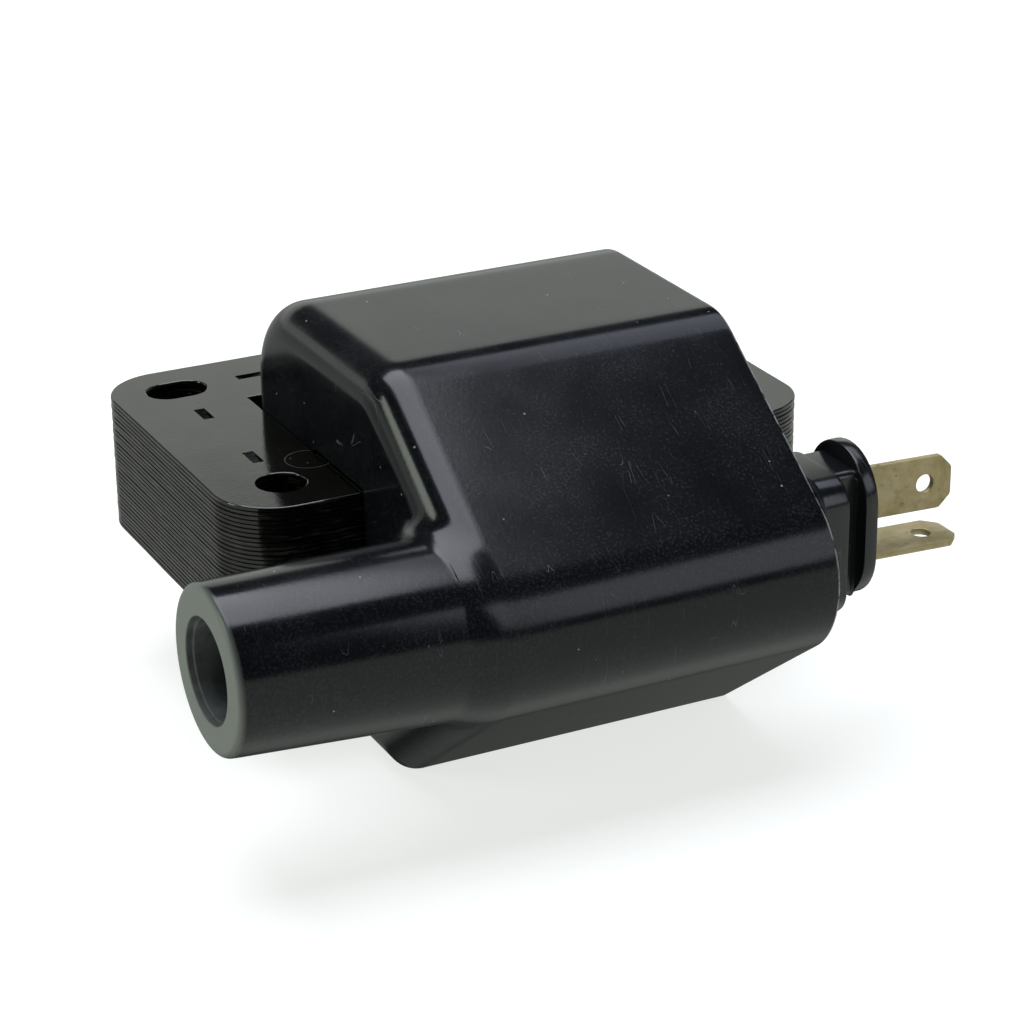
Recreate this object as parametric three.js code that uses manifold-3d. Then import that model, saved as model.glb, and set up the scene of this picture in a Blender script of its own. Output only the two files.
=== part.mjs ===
// Ignition coil of the closed-core kind: a laminated steel frame, a potted coil body round its
// front bar with a high-tension tower to the left, and a two-blade terminal block to the right.
// Millimetres, +Z up, +X towards the blades, +Y from the coil body towards the back of the frame.
// The design frame has its zero at the lower left front corner of the steel frame; the group at
// the end moves the whole model so that its origin is the middle of its footprint, at the bottom.

import * as THREE from "three";
import { mergeVertices } from "three/addons/utils/BufferGeometryUtils.js";
import Module from "manifold-3d";

const wasm = await Module();
wasm.setup();

// ---------------------------------------------------------------- driving dimensions

const GAP = 0.3; // clearance between neighbouring pieces
const CUT_PAST = 5; // how far a cutting solid runs past the face it cuts

// Laminated frame
const CORE = { length: 72, width: 45.4, height: 15.9, cornerRadius: 7.1 };
const YOKE_WIDTH = 14.15; // left and right sides of the frame
const BACK_LEG_WIDTH = 12.8;
const BAR_WIDTH = 12.8; // the front bar, which carries the windings
const PLATE = 0.5; // thickness of one lamination
const LACQUER = 0.05; // film between the outer plates and the pack
const BOLT_HOLE = { x: 7.9, y: 6.8, radius: 2.75 };
const BOLT_SLOT = { x: 7.9, y: 38.7, length: 7.2, width: 5.0 };
const DIMPLE = { length: 3.4, width: 1.3, depth: 0.3 }; // stamped interlocks
const DIMPLE_Y = [15.0, 29.9]; // interlocks along each yoke
const DIMPLE_BACK_INSET = 17.3; // interlocks along the back leg, from each end
const SPACER_THICKNESS = 0.4;

// Coil body, seen from the right end: a section in Y and Z carried along X
const BODY = { left: 14.45, right: 57.45, top: 30.24, bottom: -16.18, back: 31.8 };
const NOSE = { y: -18.29, z: 6.56, radius: 10.17 }; // rounded front edge of the body
const UPPER_SLOPE = THREE.MathUtils.degToRad(35.5);
const LOWER_SLOPE = THREE.MathUtils.degToRad(37);
const TOP_FRONT_RADIUS = 7.8;
const BACK_RADIUS = 10.8;
const END_ROUNDING = 4.2;
const WALL = 2.0;

// Sleeve through the body that the front bar passes through
const BAR_CLEARANCE = 0.5;
const SLEEVE_WALL = 1.0;

// High-tension tower; its axis falls a little towards the body, and so do the blades
const AXIS_FALL = 0.034; // millimetres down for each millimetre to the right
const TOWER = { tip: -10.95, y: -18.0, z: 8.12, tipRadius: 9.1, rootRadius: 9.85, edge: 1.1 };
const TOWER_BORE = { radius: 5.65, bottomRadius: 5.3, depth: 24, mouth: 0.75 };
const STEM_RADIUS = 1.5;
const HV_HEAD = { radius: 4.3, thickness: 1.7, postRadius: 2.1, postLength: 6.5 };

// Windings, from the sleeve outwards
const PRIMARY = { left: 18.5, right: 53.5, wall: 0.8, flange: 1.0, winding: 2.0, wrap: 0.3 };
const SECONDARY = { left: 18.6, right: 53.4, wall: 1.0, flange: 0.8, depth: 3.4, chambers: 6 };
const SECONDARY_CORNER = 12.0; // outer corner radius of the secondary spool's flanges
const WINDING_SHY = 0.8; // how far a winding stays below the rim of its flanges
const LEAD_RADIUS = 0.35;

// Potting compound
const POTTING = { left: 20.0, slab: 55.0 };
const LEAD_POCKET = { left: 50, front: -20, back: -8, bottom: 2.5, top: 14.4 };

// Terminal block, centred on the two blades
const BLOCK = { y: -18.34, pivot: 70 }; // the blades' heights are true at x = pivot
const BOSS = { right: 60.65, z: 9.1, halfWidth: 6.75, halfHeight: 8.0, radius: 3.2 };
const NECK = { z: 9.75, halfWidth: 3.8, halfHeight: 7.4, radius: 0.9 };
const FLANGE = { left: 63.1, right: 64.75, z: 10.3, halfWidth: 5.95, halfHeight: 8.8 };
const FLANGE_EDGE = 0.3;

// Blade terminals
const BLADE = { width: 6.35, thickness: 0.8, tip: 77.9, chamfer: 1.5, shoulder: 62.0 };
const BLADE_HOLE = { fromTip: 3.5, radius: 1.1 };
const TAIL = { left: 52.8, width: 2.4 };
const UPPER_BLADE_Z = 12.3;
const LOWER_BLADE_Z = 5.9;

// Curves: straight pieces to a quarter or half turn
const ARC_STEPS = 4;
const PLATE_STEPS = 6; // the plates' corners and holes
const RING_STEPS = 2; // the spools and windings, which the body hides
const ROUND_STEPS = 32;

// ---------------------------------------------------------------- shapes and solids

const BAR_CENTRE = { y: BAR_WIDTH / 2, z: CORE.height / 2 };

// A rectangle with round corners, centred on (cx, cy) in the sketch plane.
function roundedRectangle(cx, cy, halfWidth, halfHeight, radius) {
  const shape = new THREE.Shape();
  const x = halfWidth - radius;
  const y = halfHeight - radius;
  shape.absarc(cx + x, cy + y, radius, 0, Math.PI / 2);
  shape.absarc(cx - x, cy + y, radius, Math.PI / 2, Math.PI);
  shape.absarc(cx - x, cy - y, radius, Math.PI, 1.5 * Math.PI);
  shape.absarc(cx + x, cy - y, radius, 1.5 * Math.PI, 2 * Math.PI);
  return shape;
}

function circlePath(cx, cy, radius) {
  const path = new THREE.Path();
  path.absarc(cx, cy, radius, 0, 2 * Math.PI);
  return path;
}

// Turns a geometry into a solid whose shared corners are merged.
function solid(geometry) {
  const bare = geometry.clone();
  bare.deleteAttribute("normal");
  bare.deleteAttribute("uv");
  const merged = mergeVertices(bare, 1e-4);
  const vertProperties = new Float32Array(merged.attributes.position.array);
  const triVerts = new Uint32Array(merged.index.array);
  return new wasm.Manifold(new wasm.Mesh({ numProp: 3, vertProperties, triVerts }));
}

function geometryOf(manifold) {
  const mesh = manifold.getMesh();
  const geometry = new THREE.BufferGeometry();
  geometry.setAttribute("position", new THREE.BufferAttribute(mesh.vertProperties, 3));
  geometry.setIndex(new THREE.BufferAttribute(mesh.triVerts, 1));
  geometry.computeVertexNormals();
  return geometry;
}

// Extrudes a sketch in X and Y upwards from z = low to z = high.
function upwards(shape, low, high, steps = ARC_STEPS) {
  const options = { depth: high - low, bevelEnabled: false, curveSegments: steps };
  return new THREE.ExtrudeGeometry(shape, options).translate(0, 0, low);
}

// Turns a geometry so that its sketch X, sketch Y and depth become Y, Z and X.
function turnAlongX(geometry) {
  const sketchX = new THREE.Vector3(0, 1, 0);
  const sketchY = new THREE.Vector3(0, 0, 1);
  const depth = new THREE.Vector3(1, 0, 0);
  return geometry.applyMatrix4(new THREE.Matrix4().makeBasis(sketchX, sketchY, depth));
}

// Extrudes a sketch in Y and Z along X from left to right.
function alongX(shape, left, right, steps = ARC_STEPS) {
  return turnAlongX(upwards(shape, left, right, steps));
}

// Extrudes a sketch in X and Z along Y from front to back.
function alongY(shape, front, back, steps = ARC_STEPS) {
  return upwards(shape, -back, -front, steps).rotateX(Math.PI / 2);
}

// Lets a geometry fall along X by the axis fall, with the heights at x = pivot kept.
function falling(geometry, pivot) {
  const k = AXIS_FALL;
  const shear = new THREE.Matrix4().set(1, 0, 0, 0, 0, 1, 0, 0, -k, 0, 1, k * pivot, 0, 0, 0, 1);
  return geometry.applyMatrix4(shear);
}

// A solid of revolution about the tower's axis; the profile lists [radius, x] from left to right.
function turned(profile, steps = ROUND_STEPS) {
  const points = profile.map(([radius, x]) => new THREE.Vector2(radius, x));
  const geometry = new THREE.LatheGeometry(points, steps).rotateZ(-Math.PI / 2);
  return falling(geometry.translate(0, TOWER.y, TOWER.z), TOWER.tip);
}

function box(x0, x1, y0, y1, z0, z1) {
  const geometry = new THREE.BoxGeometry(x1 - x0, y1 - y0, z1 - z0);
  return geometry.translate((x0 + x1) / 2, (y0 + y1) / 2, (z0 + z1) / 2);
}

// A round wire along a smooth curve through the given points.
function wire(points, radius) {
  const route = new THREE.CatmullRomCurve3(points.map((p) => new THREE.Vector3(...p)));
  const section = new THREE.Shape();
  section.absarc(0, 0, radius, 0, 2 * Math.PI);
  const options = { steps: 14, extrudePath: route, curveSegments: 4, bevelEnabled: false };
  return new THREE.ExtrudeGeometry(section, options);
}

// A ring round the front bar: a rounded rectangle that stands off the sleeve by inner to outer.
function barRing(left, right, inner, outer, outerCorner = outer) {
  const shape = barOutline(outer, outerCorner);
  shape.holes.push(barOutline(inner, inner));
  return alongX(shape, left, right, RING_STEPS);
}

// A spool round the front bar: a tube between left and right with a flange at each start.
function spool({ left, right, wall, flange }, starts, inner, outer, corner) {
  const tube = barOutline(inner + wall, inner + wall);
  let body = solid(alongX(tube, left, right, RING_STEPS));
  for (const start of starts) {
    const disc = alongX(barOutline(outer, corner), start, start + flange, RING_STEPS);
    body = body.add(solid(disc));
  }
  const passage = barOutline(inner, inner);
  const cut = alongX(passage, left - CUT_PAST, right + CUT_PAST, RING_STEPS);
  return geometryOf(body.subtract(solid(cut)));
}

// The front bar's section grown by a stand-off on every side.
function barOutline(standOff, corner) {
  const halfWidth = BAR_WIDTH / 2 + standOff;
  const halfHeight = CORE.height / 2 + standOff;
  return roundedRectangle(BAR_CENTRE.y, BAR_CENTRE.z, halfWidth, halfHeight, corner);
}

// ---------------------------------------------------------------- laminated frame

// The U plate: two yokes and the back leg, open at the front between the yokes.
function uPlateShape() {
  const { length, width, cornerRadius: r } = CORE;
  const shape = new THREE.Shape();
  shape.absarc(length - r, r, r, -Math.PI / 2, 0);
  shape.absarc(length - r, width - r, r, 0, Math.PI / 2);
  shape.absarc(r, width - r, r, Math.PI / 2, Math.PI);
  shape.absarc(r, r, r, Math.PI, 1.5 * Math.PI);
  shape.lineTo(YOKE_WIDTH, 0);
  shape.lineTo(YOKE_WIDTH, width - BACK_LEG_WIDTH);
  shape.lineTo(length - YOKE_WIDTH, width - BACK_LEG_WIDTH);
  shape.lineTo(length - YOKE_WIDTH, 0);
  for (const x of [BOLT_HOLE.x, length - BOLT_HOLE.x]) {
    shape.holes.push(circlePath(x, BOLT_HOLE.y, BOLT_HOLE.radius));
    shape.holes.push(slotPath(x, BOLT_SLOT.y, BOLT_SLOT.length, BOLT_SLOT.width));
  }
  return shape;
}

// A slot with round ends, long along X.
function slotPath(cx, cy, length, width) {
  const path = new THREE.Path();
  const reach = (length - width) / 2;
  path.absarc(cx + reach, cy, width / 2, -Math.PI / 2, Math.PI / 2);
  path.absarc(cx - reach, cy, width / 2, Math.PI / 2, 1.5 * Math.PI);
  return path;
}

// The stamped interlocks, as boxes that sink into the upper face of a plate.
function dimples(faceZ) {
  const { length, width, depth } = DIMPLE;
  const places = [];
  for (const x of [BOLT_HOLE.x, CORE.length - BOLT_HOLE.x]) {
    for (const y of DIMPLE_Y) places.push([x, y, width, length]);
  }
  for (const x of [DIMPLE_BACK_INSET, CORE.length - DIMPLE_BACK_INSET]) {
    places.push([x, BOLT_SLOT.y + 0.4, length, width]);
  }
  return places.map(([x, y, dx, dy]) =>
    box(x - dx / 2, x + dx / 2, y - dy / 2, y + dy / 2, faceZ - depth, faceZ + CUT_PAST),
  );
}

function coreTopPlate() {
  const low = CORE.height - PLATE;
  let plate = solid(upwards(uPlateShape(), low, CORE.height, PLATE_STEPS));
  for (const dimple of dimples(CORE.height)) plate = plate.subtract(solid(dimple));
  return geometryOf(plate);
}

function coreStack() {
  const inset = PLATE + LACQUER;
  return upwards(uPlateShape(), inset, CORE.height - inset, PLATE_STEPS);
}

function coreBottomPlate() {
  return upwards(uPlateShape(), 0, PLATE, PLATE_STEPS);
}

// The front bar lies between the yokes; the spacer fills the joint at its right end.
function coreBar() {
  const right = CORE.length - YOKE_WIDTH - SPACER_THICKNESS - 2 * GAP;
  return box(YOKE_WIDTH + GAP, right, 0, BAR_WIDTH, 0, CORE.height);
}

function coreSpacer() {
  const right = CORE.length - YOKE_WIDTH - GAP;
  const rim = 0.2;
  return box(right - SPACER_THICKNESS, right, rim, BAR_WIDTH - rim, rim, CORE.height - rim);
}

// ---------------------------------------------------------------- coil body

// The body's section, drawn inset from its outer surface: flat top and bottom, a straight
// back with round corners, and two slopes that run tangent into the round nose.
function bodySection(inset) {
  const top = BODY.top - inset;
  const bottom = BODY.bottom + inset;
  const noseRadius = NOSE.radius - inset;
  const topRadius = TOP_FRONT_RADIUS - inset;
  const backRadius = BACK_RADIUS - inset;
  const backCentre = BODY.back - BACK_RADIUS;
  // The slope's distance from the nose centre is the nose radius, so a circle that touches
  // both the slope and the flat top has its centre at this y.
  const rise = (BODY.top - TOP_FRONT_RADIUS - NOSE.z) * Math.cos(UPPER_SLOPE);
  const across = (TOP_FRONT_RADIUS - NOSE.radius + rise) / Math.sin(UPPER_SLOPE);
  const drop = (NOSE.z - bottom) * Math.cos(LOWER_SLOPE);
  const bottomFront = NOSE.y + (drop - noseRadius) / Math.sin(LOWER_SLOPE);
  const upper = Math.PI / 2 + UPPER_SLOPE;
  const lower = 1.5 * Math.PI - LOWER_SLOPE;
  const shape = new THREE.Shape();
  shape.moveTo(bottomFront, bottom);
  shape.lineTo(backCentre, bottom);
  shape.absarc(backCentre, BODY.bottom + BACK_RADIUS, backRadius, -Math.PI / 2, 0);
  shape.absarc(backCentre, BODY.top - BACK_RADIUS, backRadius, 0, Math.PI / 2);
  shape.absarc(NOSE.y + across, top - topRadius, topRadius, Math.PI / 2, upper);
  shape.absarc(NOSE.y, NOSE.z, noseRadius, upper, lower);
  return shape;
}

// The outer block of the body, rounded at its left end and cut square at its right end.
function bodyBlock() {
  const past = BODY.right + CUT_PAST;
  const options = {
    depth: past - BODY.left - 2 * END_ROUNDING,
    bevelThickness: END_ROUNDING,
    bevelSize: END_ROUNDING,
    bevelOffset: -END_ROUNDING,
    bevelSegments: 4,
    curveSegments: ARC_STEPS,
  };
  const block = new THREE.ExtrudeGeometry(bodySection(0), options);
  const placed = turnAlongX(block.translate(0, 0, BODY.left + END_ROUNDING));
  const beyond = box(BODY.right, past + CUT_PAST, -60, 60, -60, 60);
  return solid(placed).subtract(solid(beyond));
}

// The tower's outside is a slim cone with a rounded rim; it ends inside the body's left wall.
function towerOutside() {
  const { tip, tipRadius, rootRadius, edge } = TOWER;
  const rim = [];
  for (let i = 0; i <= 3; i += 1) {
    const angle = (i / 3) * (Math.PI / 2);
    rim.push([tipRadius - edge + edge * Math.sin(angle), tip + edge - edge * Math.cos(angle)]);
  }
  const inside = BODY.left + WALL - 0.1;
  return solid(turned([[0, tip], ...rim, [rootRadius, inside], [0, inside]]));
}

function towerBore() {
  const { radius, bottomRadius, depth, mouth } = TOWER_BORE;
  const tip = TOWER.tip;
  const profile = [
    [0, tip - CUT_PAST],
    [radius + mouth, tip - CUT_PAST],
    [radius + mouth, tip],
    [radius, tip + mouth],
    [bottomRadius, tip + depth],
    [0, tip + depth],
  ];
  return solid(turned(profile));
}

// A round hole through the wall at the bottom of the bore, for the terminal's stem.
function stemHole() {
  const radius = STEM_RADIUS + GAP;
  const left = TOWER.tip + TOWER_BORE.depth - 1;
  const right = BODY.left + WALL + 1;
  const profile = [[0, left], [radius, left], [radius, right], [0, right]];
  return solid(turned(profile, 16));
}

function housing() {
  const open = BODY.right + CUT_PAST;
  const hollow = solid(alongX(bodySection(WALL), BODY.left + WALL, open));
  const sleeveOuter = BAR_CLEARANCE + SLEEVE_WALL;
  const sleeve = solid(alongX(barOutline(sleeveOuter, sleeveOuter), BODY.left + 1, BODY.right));
  const passage = barOutline(BAR_CLEARANCE, BAR_CLEARANCE);
  const through = solid(alongX(passage, BODY.left - CUT_PAST, open));
  const shell = bodyBlock().subtract(hollow).add(sleeve).add(towerOutside());
  return geometryOf(shell.subtract(through).subtract(towerBore()).subtract(stemHole()));
}

// The compound fills the body behind the windings and closes its right end; its room for
// the windings and leads is open to the left.
function pottingFill() {
  const face = BODY.right;
  const block = solid(alongX(bodySection(WALL + GAP), POTTING.left, face));
  const reach = secondaryOuter() + GAP;
  const room = barOutline(reach, SECONDARY_CORNER + GAP);
  const windings = solid(alongX(room, POTTING.left - CUT_PAST, POTTING.slab));
  const sleeveRoom = BAR_CLEARANCE + SLEEVE_WALL + GAP;
  const past = face + CUT_PAST;
  const sleeve = solid(alongX(barOutline(sleeveRoom, sleeveRoom), POTTING.slab - 1, past));
  const { left, front, back, bottom, top } = LEAD_POCKET;
  const pocket = solid(box(left, POTTING.slab, front, back, bottom, top));
  const blades = bladeRoom(POTTING.slab - 1, past);
  return geometryOf(block.subtract(windings).subtract(sleeve).subtract(pocket).subtract(blades));
}

// ---------------------------------------------------------------- windings

function primaryInner() {
  return BAR_CLEARANCE + SLEEVE_WALL + GAP;
}

function primaryOuter() {
  return primaryInner() + PRIMARY.wall + GAP + PRIMARY.winding;
}

function primaryBobbin() {
  const starts = [PRIMARY.left, PRIMARY.right - PRIMARY.flange];
  return spool(PRIMARY, starts, primaryInner(), primaryOuter(), primaryOuter());
}

function primaryWinding() {
  const { left, right, wall, flange } = PRIMARY;
  const inner = primaryInner() + wall + GAP;
  const edge = flange + GAP;
  return barRing(left + edge, right - edge, inner, primaryOuter() - 0.2);
}

function primaryWrap() {
  const inner = primaryOuter() + GAP;
  return barRing(PRIMARY.left, PRIMARY.right, inner, inner + PRIMARY.wrap);
}

function secondaryInner() {
  return primaryOuter() + 2 * GAP + PRIMARY.wrap;
}

function secondaryOuter() {
  return secondaryInner() + SECONDARY.wall + SECONDARY.depth;
}

// Centre distance of the secondary spool's flanges.
function chamberPitch() {
  const { left, right, flange, chambers } = SECONDARY;
  return (right - left - flange) / chambers;
}

function secondaryBobbin() {
  const starts = [];
  for (let i = 0; i <= SECONDARY.chambers; i += 1) {
    starts.push(SECONDARY.left + i * chamberPitch());
  }
  return spool(SECONDARY, starts, secondaryInner(), secondaryOuter(), SECONDARY_CORNER);
}

function secondarySection(index) {
  const { left, wall, flange } = SECONDARY;
  const start = left + index * chamberPitch() + flange + GAP;
  const end = left + (index + 1) * chamberPitch() - GAP;
  const inner = secondaryInner() + wall + GAP;
  const outer = secondaryOuter() - WINDING_SHY;
  return barRing(start, end, inner, outer, SECONDARY_CORNER - WINDING_SHY);
}

// ---------------------------------------------------------------- high-tension terminal

function hvTerminal() {
  const { radius, thickness, postRadius, postLength } = HV_HEAD;
  const seat = TOWER.tip + TOWER_BORE.depth - GAP;
  const head = seat - thickness;
  const end = head - postLength;
  const nib = 0.8;
  const profile = [
    [0, end],
    [postRadius - nib, end],
    [postRadius, end + nib],
    [postRadius, head],
    [radius, head],
    [radius, seat],
    [STEM_RADIUS, seat],
    [STEM_RADIUS, BODY.left + WALL + 1],
    [0, BODY.left + WALL + 1],
  ];
  return turned(profile, 24);
}

// From the terminal's stem to the first section of the secondary winding.
function hvLead() {
  const x = BODY.left + WALL + 1 + GAP + LEAD_RADIUS;
  const end = BAR_CENTRE.y - BAR_WIDTH / 2 - secondaryOuter() - GAP;
  const y = TOWER.y;
  const z = TOWER.z - AXIS_FALL * (x - TOWER.tip);
  return wire([[x, y, z], [x, y + 2.5, z + 0.8], [x, end - 2, z + 0.9], [x, end, z]], LEAD_RADIUS);
}

// ---------------------------------------------------------------- terminal block and blades

// The room that the two blades take, grown by the clearance, between two places along X.
function bladeRoom(left, right) {
  const width = (right > BLADE.shoulder ? BLADE.width : TAIL.width) / 2 + GAP;
  const thick = BLADE.thickness / 2 + GAP;
  const { y } = BLOCK;
  const upper = box(left, right, y - thick, y + thick, UPPER_BLADE_Z - width, UPPER_BLADE_Z + width);
  const lower = box(left, right, y - width, y + width, LOWER_BLADE_Z - thick, LOWER_BLADE_Z + thick);
  return solid(falling(upper, BLOCK.pivot)).add(solid(falling(lower, BLOCK.pivot)));
}

function terminalBlock() {
  const { y } = BLOCK;
  const back = BODY.right + GAP;
  const bossShape = roundedRectangle(y, BOSS.z, BOSS.halfWidth, BOSS.halfHeight, BOSS.radius);
  const neckShape = roundedRectangle(y, NECK.z, NECK.halfWidth, NECK.halfHeight, NECK.radius);
  const rim = FLANGE.halfWidth;
  const flangeShape = roundedRectangle(y, FLANGE.z, rim, FLANGE.halfHeight, rim - 0.01);
  const edge = FLANGE_EDGE;
  const options = {
    depth: FLANGE.right - FLANGE.left - 2 * edge,
    bevelThickness: edge,
    bevelSize: edge,
    bevelOffset: -edge,
    bevelSegments: 1,
    curveSegments: 6,
  };
  const disc = new THREE.ExtrudeGeometry(flangeShape, options);
  const flange = solid(turnAlongX(disc.translate(0, 0, FLANGE.left + edge)));
  const neck = solid(alongX(neckShape, back, FLANGE.left + 1));
  const boss = solid(alongX(bossShape, back, BOSS.right));
  const tails = bladeRoom(back - 1, BLADE.shoulder - GAP);
  const blades = bladeRoom(BLADE.shoulder - GAP, FLANGE.right + CUT_PAST);
  return geometryOf(boss.add(neck).add(flange).subtract(tails).subtract(blades));
}

// A blade in its own plane: u runs along X, v across the blade from its middle.
function bladeShape(v0) {
  const half = BLADE.width / 2;
  const { tip, chamfer, shoulder } = BLADE;
  const tail = TAIL.width / 2;
  const outline = [
    [TAIL.left, -tail],
    [shoulder, -tail],
    [shoulder, -half],
    [tip - chamfer, -half],
    [tip, chamfer - half],
    [tip, half - chamfer],
    [tip - chamfer, half],
    [shoulder, half],
    [shoulder, tail],
    [TAIL.left, tail],
  ];
  const shape = new THREE.Shape(outline.map(([u, v]) => new THREE.Vector2(u, v0 + v)));
  shape.holes.push(circlePath(tip - BLADE_HOLE.fromTip, v0, BLADE_HOLE.radius));
  return shape;
}

// The upper blade stands on edge, in X and Z.
function upperBlade() {
  const half = BLADE.thickness / 2;
  const blade = alongY(bladeShape(UPPER_BLADE_Z), BLOCK.y - half, BLOCK.y + half, 8);
  return falling(blade, BLOCK.pivot);
}

// The lower blade lies flat, in X and Y.
function lowerBlade() {
  const half = BLADE.thickness / 2;
  const blade = upwards(bladeShape(BLOCK.y), LOWER_BLADE_Z - half, LOWER_BLADE_Z + half, 8);
  return falling(blade, BLOCK.pivot);
}

// The primary's two ends and the secondary's low end run to the blades' tails, just behind
// the windings.
const LEAD_X = POTTING.slab - GAP - LEAD_RADIUS;
const TAIL_RISE = AXIS_FALL * (BLOCK.pivot - LEAD_X); // the tails lie this much above the blades

function primaryLeadUpper() {
  const start = BAR_CENTRE.y - BAR_WIDTH / 2 - primaryOuter();
  const end = BLOCK.y + BLADE.thickness / 2 + GAP;
  const z = UPPER_BLADE_Z + TAIL_RISE;
  const x = LEAD_X;
  return wire([[x, start, z - 1], [x, start - 4, z + 0.4], [x, end + 2, z + 0.3], [x, end, z]], LEAD_RADIUS);
}

function primaryLeadLower() {
  const start = BAR_CENTRE.y - BAR_WIDTH / 2 - primaryOuter();
  const end = BLOCK.y + TAIL.width / 2 + GAP;
  const z = LOWER_BLADE_Z + TAIL_RISE;
  const x = LEAD_X;
  return wire([[x, start, z + 1], [x, start - 4, z + 0.6], [x, end + 2, z + 0.3], [x, end, z]], LEAD_RADIUS);
}

function secondaryReturnLead() {
  const start = BAR_CENTRE.y - BAR_WIDTH / 2 - secondaryOuter() + 1;
  const end = BLOCK.y + TAIL.width / 2;
  const z = LOWER_BLADE_Z + TAIL_RISE - BLADE.thickness / 2 - GAP - LEAD_RADIUS;
  const x = LEAD_X;
  return wire([[x, start, z - 0.6], [x, start - 2, z - 0.8], [x, end, z - 0.2], [x, end - 1, z]], LEAD_RADIUS);
}

// ---------------------------------------------------------------- finishes and assembly

const FINISH = {
  lacqueredSteel: { color: 0x23271f, roughness: 0.38, metalness: 0.5 },
  mouldedResin: { color: 0x0d0f12, roughness: 0.22, metalness: 0 },
  pottingResin: { color: 0x16181a, roughness: 0.45, metalness: 0 },
  nylon: { color: 0x17191a, roughness: 0.42, metalness: 0 },
  spoolPlastic: { color: 0xd8d2bd, roughness: 0.5, metalness: 0 },
  enamelledCopper: { color: 0xa4532a, roughness: 0.35, metalness: 0.9 },
  paper: { color: 0xc4a878, roughness: 0.85, metalness: 0 },
  brass: { color: 0x8c7f4e, roughness: 0.4, metalness: 0.9 },
};

const coil = new THREE.Group();

function piece(name, geometry, finish) {
  const mesh = new THREE.Mesh(geometry, new THREE.MeshStandardMaterial(finish));
  mesh.name = name;
  coil.add(mesh);
}

piece("core_stack", coreStack(), FINISH.lacqueredSteel);
piece("core_top_plate", coreTopPlate(), FINISH.lacqueredSteel);
piece("core_bottom_plate", coreBottomPlate(), FINISH.lacqueredSteel);
piece("core_bar", coreBar(), FINISH.lacqueredSteel);
piece("core_gap_spacer", coreSpacer(), FINISH.paper);
piece("housing", housing(), FINISH.mouldedResin);
piece("potting_fill", pottingFill(), FINISH.pottingResin);
piece("primary_bobbin", primaryBobbin(), FINISH.spoolPlastic);
piece("primary_winding", primaryWinding(), FINISH.enamelledCopper);
piece("primary_wrap", primaryWrap(), FINISH.paper);
piece("secondary_bobbin", secondaryBobbin(), FINISH.spoolPlastic);
for (let i = 0; i < SECONDARY.chambers; i += 1) {
  piece(`secondary_winding_${i + 1}`, secondarySection(i), FINISH.enamelledCopper);
}
piece("hv_terminal", hvTerminal(), FINISH.brass);
piece("hv_lead", hvLead(), FINISH.enamelledCopper);
piece("terminal_block", terminalBlock(), FINISH.nylon);
piece("upper_blade", upperBlade(), FINISH.brass);
piece("lower_blade", lowerBlade(), FINISH.brass);
piece("primary_lead_upper", primaryLeadUpper(), FINISH.enamelledCopper);
piece("primary_lead_lower", primaryLeadLower(), FINISH.enamelledCopper);
piece("secondary_return_lead", secondaryReturnLead(), FINISH.enamelledCopper);

// The origin is the middle of the footprint, on the surface that the body's flat bottom rests on.
const footprint = {
  x: (TOWER.tip + BLADE.tip) / 2,
  y: (NOSE.y - NOSE.radius + CORE.width) / 2,
};
coil.position.set(-footprint.x, -footprint.y, -BODY.bottom);

export default coil;
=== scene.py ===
"""The looks of a potted ignition coil, built round its packed part.

Places and sizes are in the coil's own frame: its zero is the lower left front corner of the
laminated steel, X runs towards the blades, Y towards the back and Z up. A millimetre in the
working is one unit, and place() turns it into the packed part's metres.
"""

import math
from functools import partial
from types import SimpleNamespace

import bpy
import numpy as np
from mathutils import Matrix, Vector
from mathutils.geometry import delaunay_2d_cdt


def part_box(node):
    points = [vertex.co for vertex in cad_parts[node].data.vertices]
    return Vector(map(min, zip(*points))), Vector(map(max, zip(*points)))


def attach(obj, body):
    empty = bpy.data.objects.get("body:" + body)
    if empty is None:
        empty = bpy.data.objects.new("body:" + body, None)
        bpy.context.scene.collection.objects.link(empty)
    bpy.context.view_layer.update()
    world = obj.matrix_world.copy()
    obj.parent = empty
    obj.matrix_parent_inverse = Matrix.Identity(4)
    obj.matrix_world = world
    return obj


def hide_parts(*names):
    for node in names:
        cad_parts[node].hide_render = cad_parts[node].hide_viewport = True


bl_info = {
    "name": "Potted ignition coil",
    "version": (1, 0, 0),
    "blender": (4, 5, 0),
    "location": "View3D > Sidebar > Ignition coil",
    "description": "Builds the visible surfaces of a potted ignition coil round its packed part",
    "category": "Add Mesh",
}

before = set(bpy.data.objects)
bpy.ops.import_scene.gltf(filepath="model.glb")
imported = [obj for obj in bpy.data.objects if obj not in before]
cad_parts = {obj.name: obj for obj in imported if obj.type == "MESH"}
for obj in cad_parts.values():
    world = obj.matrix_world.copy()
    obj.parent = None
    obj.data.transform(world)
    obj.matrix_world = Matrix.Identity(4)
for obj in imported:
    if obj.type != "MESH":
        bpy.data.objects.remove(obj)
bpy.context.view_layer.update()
MM = 0.001
ZERO = np.array(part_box("core_bottom_plate")[0])


def in_mm(node):
    """A packed node's lowest and highest corners in the coil's own frame, in millimetres."""
    return [(np.array(corner) - ZERO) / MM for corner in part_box(node)]


CORE_LOW, CORE_HIGH = in_mm("core_stack")
CORE_TOP = in_mm("core_top_plate")[1][2]
BAR_LOW, BAR_HIGH = in_mm("core_bar")
SHELL_LOW, SHELL_HIGH = in_mm("housing")
BODY_RIGHT = SHELL_HIGH[0]
BLOCK_LOW, BLOCK_HIGH = in_mm("terminal_block")
TERMINAL_LOW, TERMINAL_HIGH = in_mm("hv_terminal")


# ---------------------------------------------------------------- settings


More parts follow.
